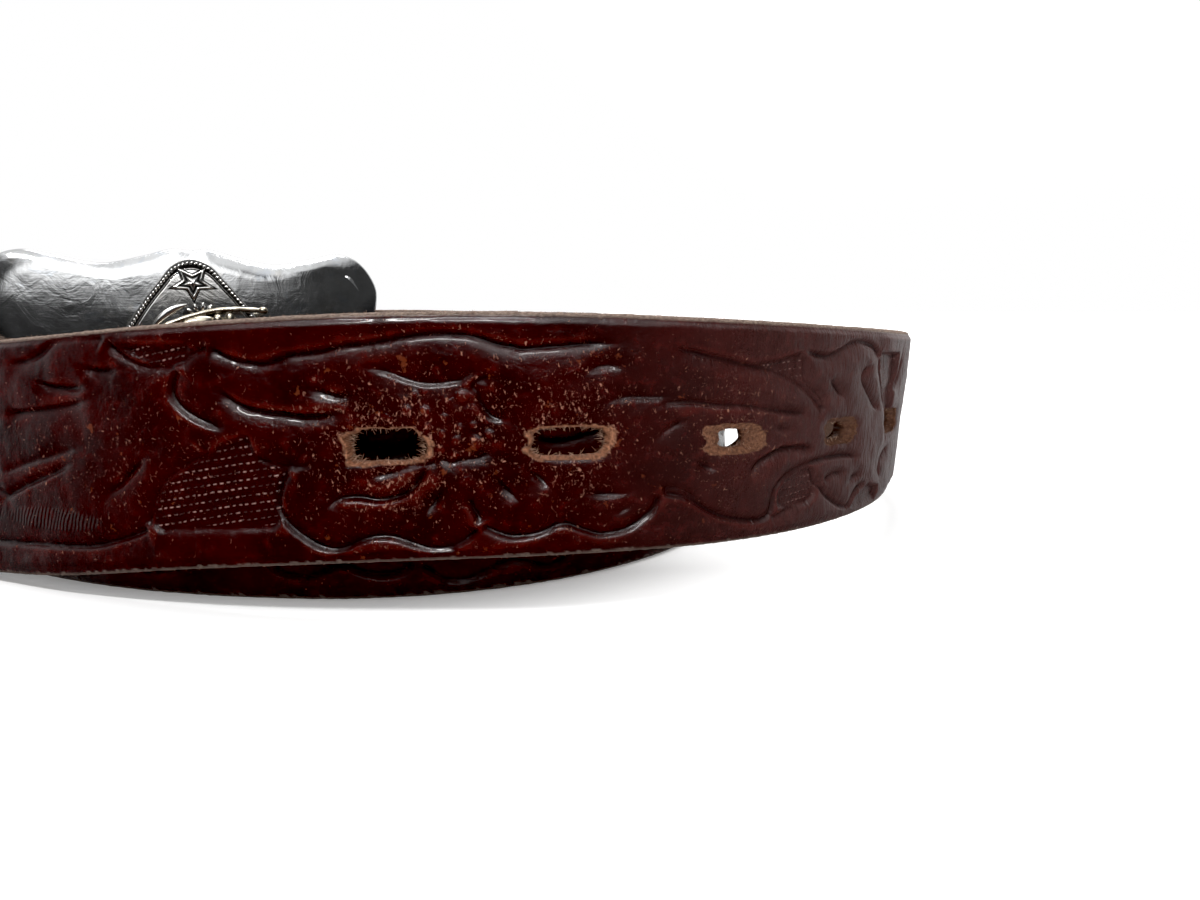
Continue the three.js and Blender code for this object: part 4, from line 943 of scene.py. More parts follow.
def leather_material():
    k = Material("leather")
    uv = k.place_uv("belt")
    s, v, _ = k.parts(uv)
    cavity, ridge, ground = k.attribute("cavity"), k.attribute("ridge"), k.attribute("ground")
    raw, flesh, rim, scuff, hatch, sheen = (k.attribute(n) for n in ("raw", "flesh", "rim", "scuff", "hatch", "dry_end_and_sheen"))
    broad = k.noise(uv, 0.11, 3)
    patch = k.noise(uv, 0.45, 4, 0.6)
    grain = k.noise(uv, 2.6, 4, 0.65)
    pores = k.cells(uv, 1.9)
    fine = k.noise(uv, 6.5, 3, 0.6)

    base = k.mix(broad.steps(0.3, 0.7), (0.012, 0.0003, 0.0003), (0.024, 0.0007, 0.0006))
    base = k.mix(patch.steps(0.50, 0.75) * 0.6, base, (0.055, 0.0022, 0.0014))
    # painted shade: darker colour in the cuts and hollows of the tooling
    base = k.mix(cavity.steps(0.10, 0.9) * 0.8, base, (0.0050, 0.0010, 0.0010))
    base = k.mix(ground * 0.4, base, (0.012, 0.0014, 0.0012))
    # colour rubbed off the high places
    rubbed = (ridge * 0.8 + scuff * 0.35 + patch * 0.7 - 0.45).steps(0.25, 0.85)
    base = k.mix(rubbed * 0.28, base, (0.105, 0.007, 0.0035))
    # wider worn spots, then flecks and short scratches down to the undyed leather
    worn = (k.noise(uv, 0.33, 5, 0.7) + scuff * 0.06 + ridge * 0.03).steps(0.660, 0.715)
    base = k.mix(worn * 0.35 * (0.4 + 0.6 * grain), base, (0.300, 0.070, 0.022))
    fl_a = k.noise(k.place_uv("belt", (150, 105, 100)), 1.25, 5, 0.78, 0.7)
    fl_c = k.noise(k.place_uv("belt", (260, 300, 100)), 1.0, 4, 0.7, 0.3)
    fl_b = k.noise(uv, 0.4, 3, 0.6)
    flecks = (fl_a + scuff * 0.105 + ridge * 0.045 + fl_b * 0.12).steps(0.735, 0.765)
    flecks = flecks.most((fl_c + scuff * 0.085 + fl_b * 0.14).steps(0.795, 0.825))
    flecks = flecks * (1 - cavity * 0.6)
    base = k.mix(flecks * 0.75, base, (0.420, 0.185, 0.120))
    # matting of the ground: staggered rows of short dashes
    slant = s * 0.09
    row_at = (v + slant) * (1 / 1.2) + k.noise(uv, 0.25, 2) * 0.35
    row = row_at.floor()
    along = (s * (1 / 1.07) + row * 0.5 + k.noise(uv, 0.4, 2) * 0.9).fract()
    across = row_at.fract()
    dash = (1 - ((across - 0.5).absolute() - 0.01).steps(0, 0.15)) * (1 - ((along - 0.5).absolute() - 0.14).steps(0, 0.20))
    dash = dash * ground.steps(0.55, 0.85)
    # the pale dash colour is a painted highlight for the gloss on the stamped dashes
    base = k.mix(dash * (0.06 + 0.80 * patch.steps(0.42, 0.60)), base, (0.360, 0.210, 0.185))
    # painted sheen: grey colour towards the strap's tip, standing in for the reflection of the bright surround
    base = k.mix(sheen * (0.42 + 0.6 * patch) * (1 - cavity * 0.6), base, (0.085, 0.034, 0.030))
    # torn leather round the slots; down each slot's wall the mask falls with depth, so the wall darkens into the slot
    # as painted shade
    rimc = k.mix(k.noise(uv, 2.2, 4, 0.7).steps(0.3, 0.72), (0.090, 0.032, 0.016), (0.44, 0.195, 0.105))
    rimc = k.mix(s.steps(150, 118) * 0.66, rimc, (0.050, 0.022, 0.012))
    base = k.mix(rim, base, rimc)
    # raw cut edges, tan grey with remains of the dye, and darker towards the strap's lower edge
    rawc = k.mix(k.noise(k.place_uv("belt", (150, 420, 100)), 1.3, 5, 0.7).steps(0.32, 0.70), (0.090, 0.060, 0.046), (0.340, 0.250, 0.200))
    rawc = k.mix(k.noise(uv, 0.42, 4, 0.6).steps(0.52, 0.72) * 0.6, rawc, (0.060, 0.020, 0.014))
    rawc = k.mix(v.steps(20, 4) * 0.55, rawc, (0.040, 0.024, 0.018))
    base = k.mix(raw * 0.95, base, rawc)
    fleshc = k.mix(grain.steps(0.3, 0.7), (0.050, 0.022, 0.013), (0.125, 0.066, 0.040))
    base = k.mix(flesh, base, fleshc)
    k.colour(base)
    rough_mask = (raw + flesh + rim).clip()
    k.set("Roughness", (0.09 + 0.10 * patch + 0.07 * grain + 0.12 * cavity + 0.26 * sheen + 0.30 * flecks).most(rough_mask * 0.86).clip())
    k.set("Coat Weight", ((1 - rough_mask) * (0.42 - 0.28 * sheen)).most(0))
    k.bsdf.inputs["Coat Roughness"].default_value = 0.08
    k.bsdf.inputs["Coat IOR"].default_value = 1.45
    k.bsdf.inputs["IOR"].default_value = 1.36
    ridges = ((s * 0.91 + v * 0.42 + k.noise(uv, 0.3, 2) * 0.9) * (1 / 0.73)).fract()
    ridges = (ridges - 0.5).absolute() * 2
    lumps = k.noise(uv, 1.1, 4, 0.6)
    h = lumps * 1.1 + grain * 0.62 + pores * 0.20 + fine * 0.30
    cracks = k.cells(k.place_uv("belt", (100, 62, 100)), 0.75, "DISTANCE_TO_EDGE")
    h = h - 0.45 * (1 - cracks.steps(0.0, 0.07)) * patch.steps(0.42, 0.7)
    # cross wrinkles of the stiff, dry end
    wrinkle = k.noise(k.place_uv("belt", (190, 34, 100)), 0.62, 4, 0.6, 0.5)
    h = h + wrinkle * sheen * 5.5
    h = h + dash * 1.5 + hatch * ridges * 2.0 - flecks * 0.5
    first = k.bump(h, 0.000120, 1.0)
    fibre = k.noise(k.place_uv("belt", (300, 300, 100)), 1.2, 5, 0.75)
    second = k.bump(fibre * rough_mask, 0.00030, 1.0, first)
    k.normal(second)
    return k.m


def fibre_material():
    k = Material("leather_fibre")
    o = k.place_object()
    k.colour(k.mix(k.noise(o, 0.9, 3).steps(0.3, 0.7), (0.20, 0.085, 0.045), (0.56, 0.36, 0.25)))
    k.set("Roughness", 0.45 + 0.4 * k.noise(o, 3.0, 2))
    return k.m


def silver_material(name, light, dark, rough, tarnish, recess_name=None, recess=(0.012, 0.011, 0.010)):
    k = Material(name)
    o = k.place_object()
    cloud = k.noise(o, 0.13, 5, 0.6, 0.4)
    spots = k.noise(o, 0.9, 5, 0.7)
    c = k.mix(cloud.steps(0.35, 0.75) * tarnish, light, dark)
    c = k.mix(spots.steps(0.62, 0.78) * 0.25 * tarnish, c, (dark[0] * 0.5, dark[1] * 0.5, dark[2] * 0.5))
    # faint blue and straw bloom of old plating
    c = k.mix(k.noise(o, 0.21, 3, 0.5, 1.2).steps(0.55, 0.72) * 0.22, c, (0.50, 0.60, 0.74))
    c = k.mix(k.noise(o, 0.27, 3, 0.5, 0.8).steps(0.58, 0.75) * 0.16, c, (0.76, 0.66, 0.48))
    metal = 1.0
    scratches = k.noise(k.place_object((240, 240, 3400), (0, 0.25, 0)), 1.0, 4, 0.6, 0.3)
    scratches_b = k.noise(k.place_object((2300, 200, 160), (0, -0.5, 0)), 1.0, 3, 0.6, 0.2)
    if recess_name:
        r = k.attribute(recess_name)
        c = k.mix(r.steps(0.15, 0.8), c, recess)
        k.set("Roughness", (rough + 0.10 * spots + 0.05 * scratches + 0.4 * r).clip())
        k.set("Metallic", 1 - 0.75 * r.steps(0.3, 0.9))
    else:
        k.set("Roughness", (rough + 0.10 * spots + 0.05 * scratches).clip())
        k.bsdf.inputs["Metallic"].default_value = metal
    k.colour(c)
    h = scratches * 0.5 + scratches_b * 0.35 + spots * 0.25
    h = h + k.noise(o, 0.20, 4, 0.55, 1.4) * 5.5
    k.normal(k.bump(h, 0.000014, 1.0))
    return k.m


LEATHER = leather_material()
FIBRE = fibre_material()
SILVER = silver_material("silver", (0.80, 0.81, 0.82), (0.30, 0.30, 0.295), 0.05, 0.5)
EMBLEM = silver_material("emblem_silver", (0.88, 0.87, 0.85), (0.40, 0.39, 0.37), 0.06, 0.45, "recess", (0.006, 0.0055, 0.005))
BRASS = silver_material("brass", (0.60, 0.55, 0.45), (0.20, 0.175, 0.135), 0.16, 0.9, "recess", (0.014, 0.011, 0.008))

# ---------------------------------------------------------------- the strap in five lengths
FINE_ROWS, PLAIN_ROWS = 134, 70
LENGTHS = [
    # name, from, to, step, rows on the face, rows inside, bands of the second map
    ("strap_tip", 0.0, 60.0, 0.5, PLAIN_ROWS, 22, 1),
    ("strap_slots", 60.0, 170.0, 0.27, FINE_ROWS, 22, 1),
    ("strap_front", 170.0, 262.0, 0.27, FINE_ROWS, 22, 1),
    ("strap_round", 262.0, 680.0, 0.60, PLAIN_ROWS, 22, 3),
    ("strap_inner", 680.0, END_S, 0.72, PLAIN_ROWS, 22, 3),
]
COARSE = (PLAIN_ROWS, 22)
for name, a, b, step, rows, inner, bands in LENGTHS:
    piece = strap_piece(name, a, b, step, rows, inner,
                        join_lo=COARSE if name == "strap_slots" else None,
                        join_hi=COARSE if name == "strap_front" else None,
                        closed_lo=name == "strap_tip", closed_hi=name == "strap_inner", bake_rows=bands)
    piece.data.materials.append(LEATHER)
    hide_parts("belt_strap")
    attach(piece, "strap")


# ---------------------------------------------------------------- loose fibres of the worn leather
def fibres(name, roots, directions, lengths, seed, radius=0.035):
    """Thin bent hairs from roots along directions, all in plan millimetres."""
    rng = np.random.RandomState(seed)
    n = len(roots)
    seg, sides = 4, 3
    d = directions / np.maximum(np.linalg.norm(directions, axis=1, keepdims=True), 1e-9)
    side = rng.normal(size=(n, 3))
    side -= (side * d).sum(1, keepdims=True) * d
    side /= np.maximum(np.linalg.norm(side, axis=1, keepdims=True), 1e-9)
    up = np.cross(d, side)
    curl = rng.uniform(-0.7, 0.7, (n, 1))
    rad = radius * rng.uniform(0.6, 1.4, (n, 1))
    verts = np.zeros((n, seg + 1, sides, 3))
    for i in range(seg + 1):
        t = i / seg
        mid = roots + d * lengths[:, None] * t + side * lengths[:, None] * curl * t * t * 0.8
        r = rad * (1 - 0.75 * t)
        for j in range(sides):
            a = 2 * math.pi * j / sides
            verts[:, i, j] = mid + r * (math.cos(a) * side + math.sin(a) * up)
    idx = np.arange(n * (seg + 1) * sides).reshape(n, seg + 1, sides)
    nx = np.roll(idx, -1, axis=2)
    q = np.stack([idx[:, :-1], nx[:, :-1], nx[:, 1:], idx[:, 1:]], -1).reshape(-1, 4)
    t0 = idx[:, 0][:, ::-1]
    t1 = idx[:, -1]
    obj = make_mesh(name, place(verts.reshape(-1, 3)), q, np.concatenate([t0, t1]))
    obj.data.materials.append(FIBRE)
    return obj


def slot_fibres():
    rng = np.random.RandomState(5)
    roots, dirs, lens = [], [], []
    for si, (cs, face, throat, back, rag) in enumerate(SLOTS):
        mid = at(np.array([cs]), RW)[0] / 2 - SLOT_BELOW_MIDDLE
        count = (60, 70, 110, 130, 190)[si]
        phi = rng.uniform(-math.pi, math.pi, count)
        deep = rng.uniform(0.02, 0.40, count)
        g = ease(deep / 0.42)
        a = face[0] + (throat[0] - face[0]) * g
        b = face[1] + (throat[1] - face[1]) * g
        c, s_ = np.cos(phi), np.sin(phi)
        r = (np.abs(c)**SLOT_POWER + np.abs(s_)**SLOT_POWER)**(1 / SLOT_POWER)
        ds, dv = a * c / r, b * s_ / r
        o = 1.35 - 3.0 * deep
        p = strap_point(cs + ds, mid + dv, o)
        q = strap_point(cs + ds * 0.55 + rng.normal(0, 0.9, count), mid + dv * 0.5 + rng.normal(0, 0.6, count), o + rng.uniform(-0.9, 0.35, count))
        roots.append(p); dirs.append(q - p); lens.append(rng.uniform(0.3, 1.15, count))
    return np.concatenate(roots), np.concatenate(dirs), np.concatenate(lens)


def edge_fibres():
    rng = np.random.RandomState(9)
    n = 2300
    s = np.concatenate([rng.uniform(10, 262, 1500), rng.uniform(262, 1080, 800)])
    upper = rng.rand(n) < 0.6
    w = width_at(s)
    o = rng.uniform(-0.9, 1.0, n)
    v = np.where(upper, w - 0.12, 0.12)
    p = strap_point(s, v, o)
    q = strap_point(s + rng.normal(0, 0.8, n), v + np.where(upper, 1, -1) * rng.uniform(0.05, 0.5, n), o + rng.normal(0, 0.35, n))
    # a fibre never reaches below the lowest edge of the strap
    q[:, 2] = np.maximum(q[:, 2], 0.12)
    p[:, 2] = np.maximum(p[:, 2], 0.12)
    return p, q - p, rng.uniform(0.15, 0.5, n)


for name, (r, d, l), seed, rad in (("slot_fibres", slot_fibres(), 3, 0.045), ("edge_fibres", edge_fibres(), 4, 0.028)):
    hair = fibres(name, r, d, l, seed, rad)
    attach(hair, "strap")

# ---------------------------------------------------------------- buckle
PLATE_QUARTER = [(0, 27.2), (3.1, 27.5), (8.8, 26.0), (15.5, 24.7), (22.9, 26.0), (28.5, 27.1),
                 (32.9, 25.6), (36.3, 20.2), (35.6, 14.6), (33.4, 8.6), (34.2, 0)]
EMBLEM_QUARTER = [(0, 25.7), (3.1, 24.6), (5.6, 21.75), (8.4, 18.2), (11.6, 13.4), (15.3, 7.4), (17.6, 0)]


def plate_front(a, u):
    return PLATE_FRONT + a**2 / 300 + u**2 / 210


def outline(quarter, count):
    """Closed smooth outline through a quarter table mirrored twice."""
    q = [np.array(p, float) for p in quarter]
    pts = q[:-1] + [np.array([p[0], -p[1]]) for p in q[:0:-1]] \
        + [np.array([-p[0], -p[1]]) for p in q[:-1]] + [np.array([-p[0], p[1]]) for p in q[:0:-1]]
    n = len(pts)
    out = []
    for i in range(n):
        p0, p1, p2, p3 = pts[i - 1], pts[i], pts[(i + 1) % n], pts[(i + 2) % n]
        d0, d1, d2 = (max(np.hypot(*(b - a)), 1e-6)**0.5 for a, b in ((p0, p1), (p1, p2), (p2, p3)))
        m1 = ((p1 - p0) / d0 - (p2 - p0) / (d0 + d1) + (p2 - p1) / d1) * d1
        m2 = ((p2 - p1) / d1 - (p3 - p1) / (d1 + d2) + (p3 - p2) / d2) * d1
        for t in np.linspace(0, 1, 60, endpoint=False):
            out.append((2 * t**3 - 3 * t**2 + 1) * p1 + (t**3 - 2 * t**2 + t) * m1 + (-2 * t**3 + 3 * t**2) * p2 + (t**3 - t**2) * m2)
    out = np.array(out)
    loop = np.vstack([out, out[:1]])
    arc = np.r_[0, np.cumsum(np.hypot(*np.diff(loop, axis=0).T))]
    g = np.linspace(0, arc[-1], count, endpoint=False)
    return np.stack([np.interp(g, arc, loop[:, 0]), np.interp(g, arc, loop[:, 1])], -1)


def turned(p):
    """The buckle is made facing along -Y; this turns it about the plate's middle."""
    d = p - [PLATE_X, PLATE_FRONT, 0]
    c, s = math.cos(PLATE_TURN), math.sin(PLATE_TURN)
    return np.stack([PLATE_X + d[:, 0] * c - d[:, 1] * s, PLATE_FRONT + d[:, 0] * s + d[:, 1] * c, p[:, 2]], -1)


class Builder:
    """Collects closed parts of one object, in plan millimetres."""

    def __init__(self):
        self.v, self.q, self.t, self.r, self.count = [], [], [], [], 0

    def add(self, verts, quads, tris=(), recess=None):
        verts = np.asarray(verts, float).reshape(-1, 3)
        self.v.append(verts)
        if len(quads):
            self.q.append(np.asarray(quads, int).reshape(-1, 4) + self.count)
        if len(tris):
            self.t.append(np.asarray(tris, int).reshape(-1, 3) + self.count)
        self.r.append(np.zeros(len(verts)) if recess is None else np.broadcast_to(recess, (len(verts),)).astype(float))
        self.count += len(verts)

    def grid(self, rings, recess=None, cap_lo=True, cap_hi=True, flip=False):
        """A tube through closed rings (rings, points, 3), with a fan at each end."""
        rings = np.asarray(rings, float)
        nr, n = rings.shape[:2]
        idx = np.arange(nr * n).reshape(nr, n)
        nx = np.roll(idx, -1, axis=1)
        q = np.stack([idx[:-1], nx[:-1], nx[1:], idx[1:]], -1).reshape(-1, 4)
        verts = rings.reshape(-1, 3)
        rec = np.zeros(nr * n) if recess is None else np.asarray(recess, float).reshape(-1)
        t = []
        for cap, ring, rev in ((cap_lo, idx[0], True), (cap_hi, idx[-1], False)):
            if cap:
                verts = np.vstack([verts, verts[ring].mean(0)])
                rec = np.r_[rec, rec[ring].mean()]
                c = np.full(n, len(verts) - 1)
                fan = np.stack([c, ring, np.roll(ring, -1)], -1)
                t.append(fan[:, ::-1] if rev else fan)
        t = np.concatenate(t) if t else np.zeros((0, 3), int)
        if flip:
            q, t = q[:, ::-1], t[:, ::-1]
        self.add(verts, q, t, rec)

    def blob(self, centre, axes, half, nu=20, nv=12, power=1.0, recess=None):
        """An ellipsoid with its three axes as rows and half sizes."""
        u = np.linspace(0, 2 * np.pi, nu, endpoint=False)
        w = np.linspace(-np.pi / 2, np.pi / 2, nv + 2)[1:-1]
        axes, half = np.asarray(axes, float), np.asarray(half, float)
        sg = lambda x: np.sign(x) * np.abs(x)**power
        rings = []
        for a in w:
            loc = np.stack([sg(np.cos(a)) * np.cos(u), sg(np.cos(a)) * np.sin(u), np.full(nu, sg(np.sin(a)))], -1) * half
            rings.append(loc @ axes + centre)
        pole = [np.array([0, 0, -1.0]) * half @ axes + centre, np.array([0, 0, 1.0]) * half @ axes + centre]
        rings = np.array(rings)
        n = rings.shape[0] * rings.shape[1]
        idx = np.arange(n).reshape(rings.shape[:2])
        nx = np.roll(idx, -1, axis=1)
        q = np.stack([idx[:-1], nx[:-1], nx[1:], idx[1:]], -1).reshape(-1, 4)
        verts = np.vstack([rings.reshape(-1, 3), pole])
        t = np.concatenate([np.stack([np.full(nu, n), np.roll(idx[0], -1), idx[0]], -1),
                            np.stack([np.full(nu, n + 1), idx[-1], np.roll(idx[-1], -1)], -1)])
        if np.linalg.det(axes) < 0:
            q, t = q[:, ::-1], t[:, ::-1]
        self.add(verts, q, t, 0 if recess is None else recess)

    def tube(self, path, radius, sides=16, recess=None, flat=None):
        """Round wire along a path; radius may change along it. flat squeezes it along Y."""
        path = np.asarray(path, float)
        radius = np.broadcast_to(radius, (len(path),))
        tan = np.gradient(path, axis=0)
        tan /= np.linalg.norm(tan, axis=1, keepdims=True)
        ref = np.array([0, 1.0, 0]) if abs(tan[0][1]) < 0.8 else np.array([1.0, 0, 0])
        rings = []
        for p, t, r in zip(path, tan, radius):
            a = np.cross(t, ref); a /= np.linalg.norm(a)
            b = np.cross(t, a)
            ref = np.cross(a, t)
            w = np.linspace(0, 2 * np.pi, sides, endpoint=False)
            rings.append(p + r * (np.cos(w)[:, None] * a + np.sin(w)[:, None] * b * (1 if flat is None else flat)))
        rec = None if recess is None else np.repeat(np.broadcast_to(recess, (len(path),)), sides)
        self.grid(rings, rec)

    def build(self, name, material, body, node):
        quads = np.concatenate(self.q) if self.q else np.zeros((0, 4), int)
        tris = np.concatenate(self.t) if self.t else np.zeros((0, 3), int)
        points = np.concatenate(self.v)
        if body == "buckle":
            points = turned(points)
        obj = make_mesh(name, place(points), quads, tris, {"recess": np.concatenate(self.r)})
        obj.data.materials.append(material)
        if node:
            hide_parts(node)
        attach(obj, body)
        return obj


def shell_part(b, loop, fractions, front, back, recess=None, wave=0.0):
    """A curved panel between two depths measured from the plate's front, as rings from the middle
    of its front, over the rim, to the middle of its back."""
    rings, rec = [], []
    def ring(f, depth, pull=0.0):
        p = loop * f
        n = np.linalg.norm(loop, axis=1, keepdims=True)
        p = p - loop / n * pull
        y = plate_front(p[:, 0], p[:, 1]) + depth
        if wave:
            y = y + wave * (layered(p[:, 0] / 7.5 + 40, p[:, 1] / 6 + 40, 11, 2) - 0.5) * min(1, (1.02 - f) * 8)
        return np.stack([PLATE_X + p[:, 0], y, PLATE_Z + p[:, 1]], -1)
    r = (back(1.0) - front(1.0)) / 2
    for f in fractions:
        pull = r * (0.8 if f > 0.999 else 0.8 * max(0, (f - 0.9) / 0.1))
        rings.append(ring(f, front(f), pull))
        rec.append(np.full(len(loop), recess(f) if recess else 0.0))
    for a in (30, 60, 90, 120, 150):
        c = math.radians(a)
        rings.append(ring(1.0, front(1.0) + r * (1 - math.cos(c)), r * 0.8 * (1 - math.sin(c))))
        rec.append(np.zeros(len(loop)))
    for f in fractions[::-1]:
        pull = r * (0.8 if f > 0.999 else 0.8 * max(0, (f - 0.9) / 0.1))
        rings.append(ring(f, back(f), pull))
        rec.append(np.zeros(len(loop)))
    b.grid(np.array(rings), np.array(rec), flip=False)


def lip(f):
    return 0.9 * max(0.0, (f - 0.86) / 0.14)**2


plate = Builder()
fr = np.r_[np.linspace(0.02, 0.84, 48), np.linspace(0.855, 1.0, 22)]
shell_part(plate, outline(PLATE_QUARTER, 420), fr, lip, lambda f: lip(f) + PLATE_THICK, wave=0.12)
plate.build("buckle_front", SILVER, "buckle", "buckle_plate")

loop = Builder()
LX, LY = PLATE_X + LOOP_ACROSS, PLATE_FRONT + LOOP_BEHIND
root = lambda z: plate_front(LOOP_ACROSS, z - PLATE_Z) + PLATE_THICK - 0.5
bend = 3.2
path = [np.array([LX, root(BAR_HIGH), BAR_HIGH])]
for t in np.linspace(0, 1, 12)[1:]:
    path.append(np.array([LX, root(BAR_HIGH) + t * (LY - bend - root(BAR_HIGH)), BAR_HIGH]))
for a in np.linspace(0, math.pi / 2, 12)[1:]:
    path.append(np.array([LX, LY - bend + bend * math.sin(a), BAR_HIGH - bend + bend * math.cos(a)]))
for t in np.linspace(0, 1, 40)[1:]:
    path.append(np.array([LX, LY, BAR_HIGH - bend + t * (BAR_LOW + 2 * bend - BAR_HIGH)]))
for a in np.linspace(0, math.pi / 2, 12)[1:]:
    path.append(np.array([LX, LY - bend + bend * math.cos(a), BAR_LOW + bend - bend * math.sin(a)]))
for t in np.linspace(0, 1, 12)[1:]:
    path.append(np.array([LX, LY - bend + t * (root(BAR_LOW) - LY + bend), BAR_LOW]))
loop.tube(path, 1.5, 28)
for z in (BAR_HIGH, BAR_LOW):
    # solder round each foot
    yy = root(z) + 0.4
    rings = []
    for h, rr in ((-0.5, 3.3), (0.1, 3.0), (0.5, 2.4), (0.9, 1.9), (1.5, 1.62), (2.2, 1.5)):
        w = np.linspace(0, 2 * np.pi, 36, endpoint=False)
        jag = 1 + 0.07 * np.sin(w * 3 + z) + 0.04 * np.sin(w * 5 + 2 * z) if rr > 1.6 else 1
        rings.append(np.stack([LX + rr * jag * np.cos(w), np.full(36, yy + h), z + rr * jag * np.sin(w)], -1))
    loop.grid(np.array(rings)[:, ::-1])
loop.build("buckle_loop", SILVER, "buckle", "buckle_plate")

hook = Builder()
hx, hr = PLATE_X - 25, plate_front(-25, 0) + PLATE_THICK - 0.6
hp = np.array([(0, 0), (0, 2.4), (-0.05, 4.4), (-0.7, 5.9), (-2.4, 6.75), (-4.6, 7.05), (-7.2, 7.4)])
hpath = smooth_line(hp, 0.25)
hrad = np.full(len(hpath), 1.5)
tail = np.linspace(0, 1, 8)
hrad[-8:] = 1.5 * np.sqrt(np.clip(1 - tail**2, 0.02, 1))
hook.tube(np.stack([hx + hpath[:, 0], hr + hpath[:, 1], np.full(len(hpath), PLATE_Z)], -1), hrad, 24)
hook.grid(np.array([np.stack([hx + rr * np.cos(w_), np.full(32, hr + h), PLATE_Z + rr * np.sin(w_)], -1)
                    for h, rr in ((0.0, 3.0), (0.8, 2.6), (1.2, 2.0), (1.9, 1.5))
                    for w_ in (np.linspace(0, 2 * np.pi, 32, endpoint=False),)])[:, ::-1])
hook.build("buckle_hook", SILVER, "buckle", "buckle_plate")

# emblem: panel, rope edge, star, petals
EM_BACK, EM_FACE = -0.3, -1.2
em_loop = outline(EMBLEM_QUARTER, 460)


def em_front(f):
    """Depth of the emblem's front: flat panel, a groove inside the rope, and its bed."""
    return EM_FACE + 0.28 * math.exp(-((f - 0.928) / 0.012)**2) - 0.10 * ease(np.array((f - 0.93) / 0.02)) + 0.25 * max(0, (f - 0.985) / 0.015)


panel = Builder()
shell_part(panel, em_loop, np.r_[np.linspace(0.02, 0.88, 30), np.linspace(0.89, 1.0, 30)],
           lambda f: float(em_front(f)), lambda f: EM_BACK,
           recess=lambda f: 0.95 * float(ease((f - 0.925) / 0.012)), wave=0.10)


def on_face(a, u, out=0.0):
    """Point on the emblem's panel, out in front of it."""
    return np.array([PLATE_X + a, plate_front(a, u) + EM_FACE - out, PLATE_Z + u])


beads = outline(EMBLEM_QUARTER, 160)
nb = len(beads)
for i in range(nb):
    p = beads[i] * 0.962
    t = beads[(i + 1) % nb] - beads[i - 1]
    t /= np.hypot(*t)
    c, s_ = math.cos(0.62), math.sin(0.62)
    d = np.array([t[0] * c - t[1] * s_, t[0] * s_ + t[1] * c])
    e = np.array([-d[1], d[0]])
    axes = np.array([[d[0], 0, d[1]], [e[0], 0, e[1]], [0, -1, 0]])
    panel.blob(on_face(p[0], p[1], 0.22), axes, (0.42, 0.25, 0.46), 12, 7)
# star with raised facets in a blackened bed, point down, and its half-turn copy below
for side in (1, -1):
    cu = 21.0 * side
    out_r, in_r = 3.5, 1.55
    ang = [-math.pi / 2 + i * math.pi / 5 for i in range(10)]
    tip = [(1.18 * (out_r if i % 2 == 0 else in_r) * math.cos(a), (out_r if i % 2 == 0 else in_r) * math.sin(a)) for i, a in enumerate(ang)]
    rings = []
    for k, (scale, up) in enumerate(((1.0, -0.25), (1.0, 0.30), (0.86, 0.46), (0.74, 0.46), (0.66, 0.20), (0.60, 0.18), (0.52, 0.38), (0.3, 0.62), (0.1, 0.80))):
        ring = []
        for i in range(10):
            x0, y0 = tip[i]
            x1, y1 = tip[(i + 1) % 10]
            for j in range(5):
                f = j / 5
                x, y = (x0 + (x1 - x0) * f) * scale, (y0 + (y1 - y0) * f) * scale
                low = 0.16 * scale * math.sin(math.pi * (i + f) / 1) ** 2 if k > 5 else 0
                ring.append(on_face(x, cu + side * y, up - low))
        rings.append(ring)
    rec = np.repeat(np.array([1, 0.2, 0, 0, 1, 1, 0.9, 0.35, 0]), 50)
    panel.grid(np.array(rings), rec, cap_lo=False, flip=side > 0)
    bed = []
    for scale, up in ((1.16, -0.05), (1.14, 0.035), (0.9, 0.03)):
        bed.append([on_face(tip[i][0] * scale, cu + side * tip[i][1] * scale, up) for i in range(10)])
    panel.grid(np.array(bed), np.ones(30), cap_lo=False, cap_hi=True, flip=side > 0)
    # fan of small petals between the star and the crest
    for dx, du, turn, ln in ((-0.9, -0.4, 0.9, 0.85), (0.1, 0.15, 0.35, 0.95), (1.35, 0.35, -0.15, 1.0), (2.5, 0.1, -0.65, 0.9)):
        cx, cz = side * (0.1 + dx), side * (16.0 + du)
        d = np.array([math.sin(-turn), 0, math.cos(turn)])
        e = np.array([d[2], 0, -d[0]])
        panel.blob(on_face(cx, cz, 0.35), np.array([d, e, [0, -1, 0]]), (ln, 0.42, 0.5), 14, 8)
    panel.blob(on_face(side * 0.7, side * 15.2, 0.15), np.array([[1, 0, 0], [0, 0, 1], [0, -1, 0]]), (2.9, 1.5, 0.25), 24, 8, recess=1.0)
    # engraved leaf sweeping up from the crest
    leaf = smooth_line([(-8.0, 11.9), (-5.9, 14.3), (-3.6, 16.0), (-1.2, 16.9)], 0.2)
    lt = np.linspace(0, 1, len(leaf))
    wide = 0.75 * np.sin(np.pi * np.clip(lt * 0.96 + 0.02, 0, 1))**0.7
    panel.tube([on_face(side * x, side * u, 0.05) for x, u in leaf], np.maximum(wide, 0.05), 16, recess=0.0, flat=0.5)
panel.build("buckle_emblem_face", EMBLEM, "buckle", "buckle_emblem")

